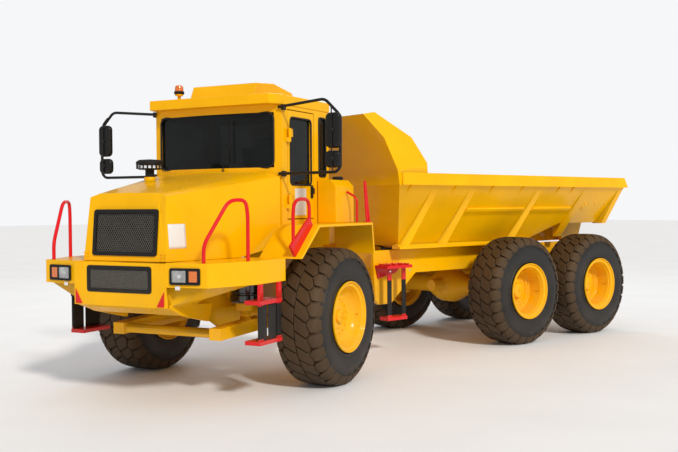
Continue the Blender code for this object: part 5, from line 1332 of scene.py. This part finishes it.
# %% Plates on the hood
HOOD_FRONT_X, HOOD_WIDENS = 0.51, 0.33
HOOD_FRONT_Y, HOOD_LENGTH = -3.45, 1.54


def decal(name, body, node, at, half_x, half_y, material, cells=8):
    """A thin blank label that follows a node's surface: each point is dropped onto it."""
    surface = BVHTree.FromPolygons(
        [vertex.co for vertex in NODES[node].data.vertices],
        [tuple(face.vertices) for face in NODES[node].data.polygons],
    )
    matrix = unit_of(body)
    away = (matrix @ at).to_3x3().col[2].normalized()
    work = bmesh.new()
    rows = []
    for i in range(cells + 1):
        row = []
        for j in range(cells + 1):
            flat = at @ Vector((half_x * (2 * i / cells - 1), half_y * (2 * j / cells - 1), 0))
            start = matrix @ flat
            hit = surface.ray_cast(start + away * 0.15, -away, 0.3)[0]
            row.append(work.verts.new((hit if hit else start) + away * 0.002))
        rows.append(row)
    for i in range(cells):
        for j in range(cells):
            work.faces.new((rows[i][j], rows[i + 1][j], rows[i + 1][j + 1], rows[i][j + 1]))
    piece = place(name, work, material, body, matrix=Matrix())
    thick = piece.modifiers.new("thickness", "SOLIDIFY")
    thick.thickness = 0.0012
    thick.offset = -1


def hood_plate(side_name, side, share=0.078, z=1.675):
    """A plate on the hood's side, at a share of its length from the nose."""
    x, y = HOOD_FRONT_X + HOOD_WIDENS * share + 0.0012, HOOD_FRONT_Y + HOOD_LENGTH * share
    at = facing((side * x, y, z), (side * HOOD_LENGTH, -HOOD_WIDENS, 0))
    decal("hood_plate_" + side_name, "engine_hood", "hood", at, 0.105, 0.118, WHITE)


for side_name, side in both_sides():
    hood_plate(side_name, side)
print("blank plates laid on both sides of the hood")

# %% [markdown]
# ## Bolts, filler caps and rails
#
# Bolt heads join the nose to the lamp boxes. Each tank has a ribbed filler cap and a red loop to
# hold on to, and a tall red loop stands on the mudguard. Painted bolts and ribs would vanish in
# low light, so they are small solids, and the loops are tubes bent along a path.


# %% Bolts, caps and rails
NOSE_BOLT_X, NOSE_BOLT_STEP = 0.455, 0.045
CAP_X, CAP_Y, CAP_RADIUS, CAP_RIBS = 0.98, -0.82, 0.058, 12
TANK_LOOP = [(1.24, -0.84, 1.762), (1.24, -0.84, 2.05), (1.11, -0.84, 2.12)]
TALL_LOOP = [(1.28, -0.60, 1.765), (1.28, -0.70, 2.24), (1.30, -0.76, 2.24), (1.31, -0.72, 1.765)]


def nose_bolts(name, side, y, low_z, pitch, rows, body):
    work = bmesh.new()
    for row in range(rows):
        for column in range(2):
            x = side * (NOSE_BOLT_X + NOSE_BOLT_STEP * column)
            add_bolt(work, (x, y, low_z + row * pitch), (0, -1, 0), 0.0075)
    place(name, work, YELLOW, body)


for side_name, side in both_sides():
    nose_bolts("nose_bolts_upper_" + side_name, side, -3.4805, 1.445, 0.032, 3, "engine_hood")
    nose_bolts("nose_bolts_lower_" + side_name, side, -3.5602, 1.375, 0.034, 2, "front_unit")
    work = bmesh.new()
    cap = [(0, 0.055), (0.010, 0.058), (0.034, 0.058), (0.040, 0.050)]
    add_turned(work, cap, (side * CAP_X, CAP_Y, 2.2605), (0, 0, 1), 32)
    for index in range(CAP_RIBS):
        angle = 2 * math.pi * index / CAP_RIBS
        x, y = side * CAP_X + CAP_RADIUS * math.cos(angle), CAP_Y + CAP_RADIUS * math.sin(angle)
        add_rod(work, (x, y, 2.268), (x, y, 2.292), 0.005, 8)
    place("filler_cap_" + side_name, work, MATT, "front_unit", 0.002)
    work = bmesh.new()
    add_tube(work, rounded_path(mirrored(side, TANK_LOOP), 0.09), 0.013)
    place("tank_loop_" + side_name, work, RED, "front_unit")
    work = bmesh.new()
    add_tube(work, rounded_path(mirrored(side, TALL_LOOP), 0.035), 0.015)
    for x, y, _ in (TALL_LOOP[0], TALL_LOOP[-1]):
        add_turned(work, [(0, 0.034), (0.008, 0.034)], (side * x, y, 1.7615), (0, 0, 1), 16)
    place("mudguard_rail_" + side_name, work, RED, "front_unit")
print("bolts, filler caps and loops on both sides")

# %% [markdown]
# ## Around the front wheels
#
# Sheet liners close the space between wheel and frame, and a ribbed rubber cover keeps dirt off
# each suspension strut. The access steps end in rubber flaps, which bend instead of breaking.
# The liners and flaps are plain sheets, so boxes are enough. The cover is turned.

# %% Liners, strut covers and step flaps
STRUT_COVER = [
    (0, 0.062), (0.0, 0.148), (0.014, 0.162), (0.078, 0.162), (0.088, 0.150), (0.102, 0.150),
    (0.112, 0.162), (0.196, 0.162), (0.212, 0.146), (0.212, 0.060),
]
for side_name, side in both_sides():
    work = bmesh.new()
    add_box(work, (side * 0.655, -2.36, 1.20), (side * 0.670, -0.60, 1.494))
    add_box(work, (side * 0.660, -0.612, 1.20), (side * 0.848, -0.600, 1.494))
    place("wheel_well_liner_" + side_name, work, YELLOW, "front_unit", 0.003)
    work = bmesh.new()
    add_turned(work, STRUT_COVER, (side * 0.62, -2.286, 0.945), (0, 0, 1), 40)
    place("strut_cover_" + side_name, work, GLOSS_BLACK, "front_unit", 0.002)
    work = bmesh.new()
    for y0, y1 in ((-2.925, -2.765), (-2.735, -2.515)):
        add_box(work, (side * 1.178, y0, 0.632), (side * 1.187, y1, 1.030))
    place("step_flap_" + side_name, work, WALL_RUBBER, "front_unit", 0.002)
print("liners, covers and flaps on both sides")

# %% [markdown]
# ## The bin's stiffeners
#
# Pressed bars stiffen the long panels, gussets tie the top rail, and a weld bead runs along the
# foot of every rib. The tub's sides lean out, and a bump map would not change their outline. So
# each bar and weld is a thin solid, written in axes laid on that slope.


# %% Bars, seams and gussets on the bin
FLOOR_HALF, FLOOR_Z, TOP_HALF, TOP_Z = 0.75, 1.45, 1.41, 2.22
RIBS = (1.10, 1.83, 3.27, 4.42)
GUSSETS = (0.62, 1.45, 2.20, 2.85, 3.70, 4.05)
GUSSET_HALF = 0.012


def side_x(z):
    return FLOOR_HALF + (TOP_HALF - FLOOR_HALF) * (z - FLOOR_Z) / (TOP_Z - FLOOR_Z)


def on_side(side, y, z, lift=0.0):
    """Axes on the leaning side: X along the truck, Y up the slope, Z out."""
    out = Vector((side * (TOP_Z - FLOOR_Z), 0, -(TOP_HALF - FLOOR_HALF))).normalized()
    return facing(Vector((side * side_x(z), y, z)) + out * (0.015 + lift), out)


for side_name, side in both_sides():
    work = bmesh.new()
    for start, end in ((RIBS[1] + 0.10, RIBS[2] - 0.08), (RIBS[2] + 0.10, RIBS[3] - 0.10)):
        at = on_side(side, (start + end) / 2, 1.91)
        half = (end - start) / 2
        pressing = [(-half, -0.032), (half, -0.032), (half - 0.012, 0.030), (-half + 0.012, 0.030)]
        add_plate(work, at, pressing, 0.030)
    place("bin_bars_" + side_name, work, YELLOW, "dump_bed", 0.012, segments=3)
    work = bmesh.new()
    for start, end in ((RIBS[1] + 0.08, RIBS[2] - 0.08), (RIBS[2] + 0.08, RIBS[3] - 0.12)):
        at = on_side(side, (start + end) / 2, 1.66)
        half = (end - start) / 2
        add_box(work, (-half, -0.005, -0.002), (half, 0.005, 0.005), at)
    for y in RIBS[:3]:
        for edge in (-0.062, 0.062):
            at = on_side(side, y + edge, 1.83)
            add_box(work, (-0.005, -0.47, -0.002), (0.005, 0.44, 0.005), at)
    place("bin_seams_" + side_name, work, YELLOW, "dump_bed", 0.002)
    work = bmesh.new()
    foot, tip, top = side_x(2.06) + 0.012, TOP_HALF + 0.040, side_x(2.212) - 0.01
    for y in GUSSETS:
        corners = [(side * foot, 2.06), (side * tip, 2.212), (side * top, 2.212)]
        ends = [[(x, y + half, z) for x, z in corners] for half in (-GUSSET_HALF, GUSSET_HALF)]
        add_prism(work, *ends)
    place("rail_gussets_" + side_name, work, YELLOW, "dump_bed", 0.002)
    work = bmesh.new()
    for y in (4.62, 4.90, 5.16):
        at = on_side(side, y, 1.98)
        add_bolt(work, at.translation, at.to_3x3().col[2], 0.014)
    at = on_side(side, 4.66, 1.93)
    port = [(0, 0.085), (0.006, 0.085), (0.006, 0.06), (0.012, 0.055), (0.012, 0.0)]
    add_turned(work, port, at.translation, at.to_3x3().col[2], 32)
    place("bin_port_" + side_name, work, YELLOW, "dump_bed", 0.001)
print(len(GUSSETS), "gussets on each side of the bin")

# %% [markdown]
# ## Rear frame fittings
#
# The step on the frame has cross bars with teeth, which grip a muddy boot, and bolts that hold its
# straps. Blank plates close the tail, and a hose in clips runs along each rail toward the hoist
# cylinders. A hose could be a curve with a bevel, but a swept tube stays a plain mesh like the
# other pieces.

# %% Step teeth, bolts, tail plates and hoses
HOSE = [(0.585, 0.90, 1.384), (0.585, 1.6, 1.380), (0.50, 1.85, 1.378), (0.47, 2.05, 1.30)]
TOOTH = [(0, 0.010), (0.010, 0.006), (0.012, 0.004)]
for side_name, side in both_sides():
    work = bmesh.new()
    for y in (0.82, 0.93, 1.04, 1.15):
        add_box(work, (side * 0.632, y - 0.010, 1.176), (side * 0.852, y + 0.010, 1.190))
        for x in (0.66, 0.72, 0.78, 0.84):
            add_turned(work, TOOTH, (side * x, y, 1.190), (0, 0, 1), 6)
    place("frame_step_teeth_" + side_name, work, RED, "rear_unit", 0.0015)
    work = bmesh.new()
    for y in (0.80, 1.16):
        add_bolt(work, (side * 0.8605, y, 1.10), (side, 0, 0), 0.010)
    place("frame_step_bolts_" + side_name, work, STEEL, "rear_unit")
    work = bmesh.new()
    at = facing((side * 0.50, 5.166, 1.20), (0, 1, 0))
    add_plate(work, at, rounded_rectangle(0.09, 0.055, 0.01), 0.004)
    place("tail_plate_" + side_name, work, MATT, "rear_unit", 0.001)
    work = bmesh.new()
    add_tube(work, rounded_path(mirrored(side, HOSE), 0.08), 0.014)
    for y in (1.0, 1.5):
        x = side * HOSE[0][0]
        add_box(work, (x - 0.020, y - 0.008, 1.366), (x + 0.020, y + 0.008, 1.399))
    place("hoist_hose_" + side_name, work, MATT, "rear_unit")
print("teeth, plates and hoses on both sides")

# %% [markdown]
# ## Floor
#
# The truck stands on a pale, dry floor, so that its shadow is clear. A curved backdrop would hide
# the horizon, but it would also catch shadows where open ground does not. So the floor is flat
# and wide, and its far edge is only a soft line. It is a stage, and isn't part of the truck.

# %% Floor
FLOOR_SIZE = 90
FLOOR_DARK, FLOOR_PALE = (0.90, 0.905, 0.915), (0.94, 0.945, 0.955)
made, tree, shader = new_material("studio_floor")
mottled = noise(tree, 0.8, 5.0, object_place(tree))
speck = noise(tree, 60.0, 3.0, object_place(tree))
floor_colour = blend(tree, ramp(tree, mottled, 0.3, 0.7), FLOOR_DARK, FLOOR_PALE)
set_input(tree, shader, "Base Color", floor_colour)
set_input(tree, shader, "Roughness", ramp(tree, speck, 0.3, 0.7, 0.55, 0.7))
bump(tree, shader, speck, 0.05, 0.002)
work = bmesh.new()
bmesh.ops.create_grid(work, x_segments=4, y_segments=4, size=FLOOR_SIZE)
mesh = bpy.data.meshes.new("floor")
work.to_mesh(mesh)
work.free()
mesh.materials.append(made)
floor = bpy.data.objects.new("floor", mesh)
bpy.context.scene.collection.objects.link(floor)
print("floor", 2 * FLOOR_SIZE, "m wide")

# %% [markdown]
# ## Light
#
# A sun high on the truck's left gives the warm side and the long shadow. A lamp nearby could not,
# because its light would fade along a nine-metre truck. A wide cool disc behind the cab draws a
# thin edge on the roof and the bin. The sky lifts the shadows. It looks brighter to the camera
# than to the truck, so that the background is nearly white and the paint stays deep.


# %% Light
SKY_LIGHT, SKY_SEEN = 0.56, 0.95
world = bpy.data.worlds.new("studio")
bpy.context.scene.world = world
world.use_nodes = True
sky = world.node_tree
back = sky.nodes["Background"]
back.inputs["Color"].default_value = (0.97, 0.98, 1.0, 1)
seen = sky.nodes.new("ShaderNodeLightPath").outputs["Is Camera Ray"]
sky.links.new(ramp(sky, seen, 0.0, 1.0, SKY_LIGHT, SKY_SEEN), back.inputs["Strength"])


def aimed(name, data, location, looking):
    """An object for a light or a camera, which looks along its own -Z."""
    thing = bpy.data.objects.new(name, data)
    bpy.context.scene.collection.objects.link(thing)
    thing.location = location
    thing.rotation_mode = "QUATERNION"
    thing.rotation_quaternion = Vector(looking).to_track_quat("-Z", "Y")
    return thing


sun = bpy.data.lights.new("sun", "SUN")
sun.energy = 2.3
sun.angle = math.radians(7)
sun.color = (1.0, 0.95, 0.87)
aimed("sun", sun, (0, 0, 0), (-0.80, 0.22, -0.56))
disc = bpy.data.lights.new("rim", "AREA")
disc.shape = "DISK"
disc.size = 5.0
disc.energy = 260
disc.color = (0.93, 0.96, 1.0)
aimed("rim", disc, (-9.0, 7.0, 9.0), (9.0, -6.0, -7.2))
print("sun", round(sun.energy, 2), "and disc", round(disc.energy), "W")

# %% [markdown]
# ## Camera
#
# The camera stands at head height off the front left corner, about twelve metres away. A wide lens
# close by would swell the nose, so a slightly long lens looks from farther off. The small roll
# makes up for ground that isn't quite level.

# %% Camera
CAMERA_ROLL = -0.007
lens = bpy.data.cameras.new("camera")
lens.sensor_width = 36
lens.lens = 49.33
lens.clip_end = 500
camera = aimed("camera", lens, (9.1025, -8.520, 1.96), (-0.753, 0.658, -0.022))
camera.rotation_quaternion = camera.rotation_quaternion @ Matrix.Rotation(CAMERA_ROLL, 3, "Z").to_quaternion()
bpy.context.scene.camera = camera
bpy.context.scene.view_settings.view_transform = "Standard"
print("camera at", tuple(camera.location))
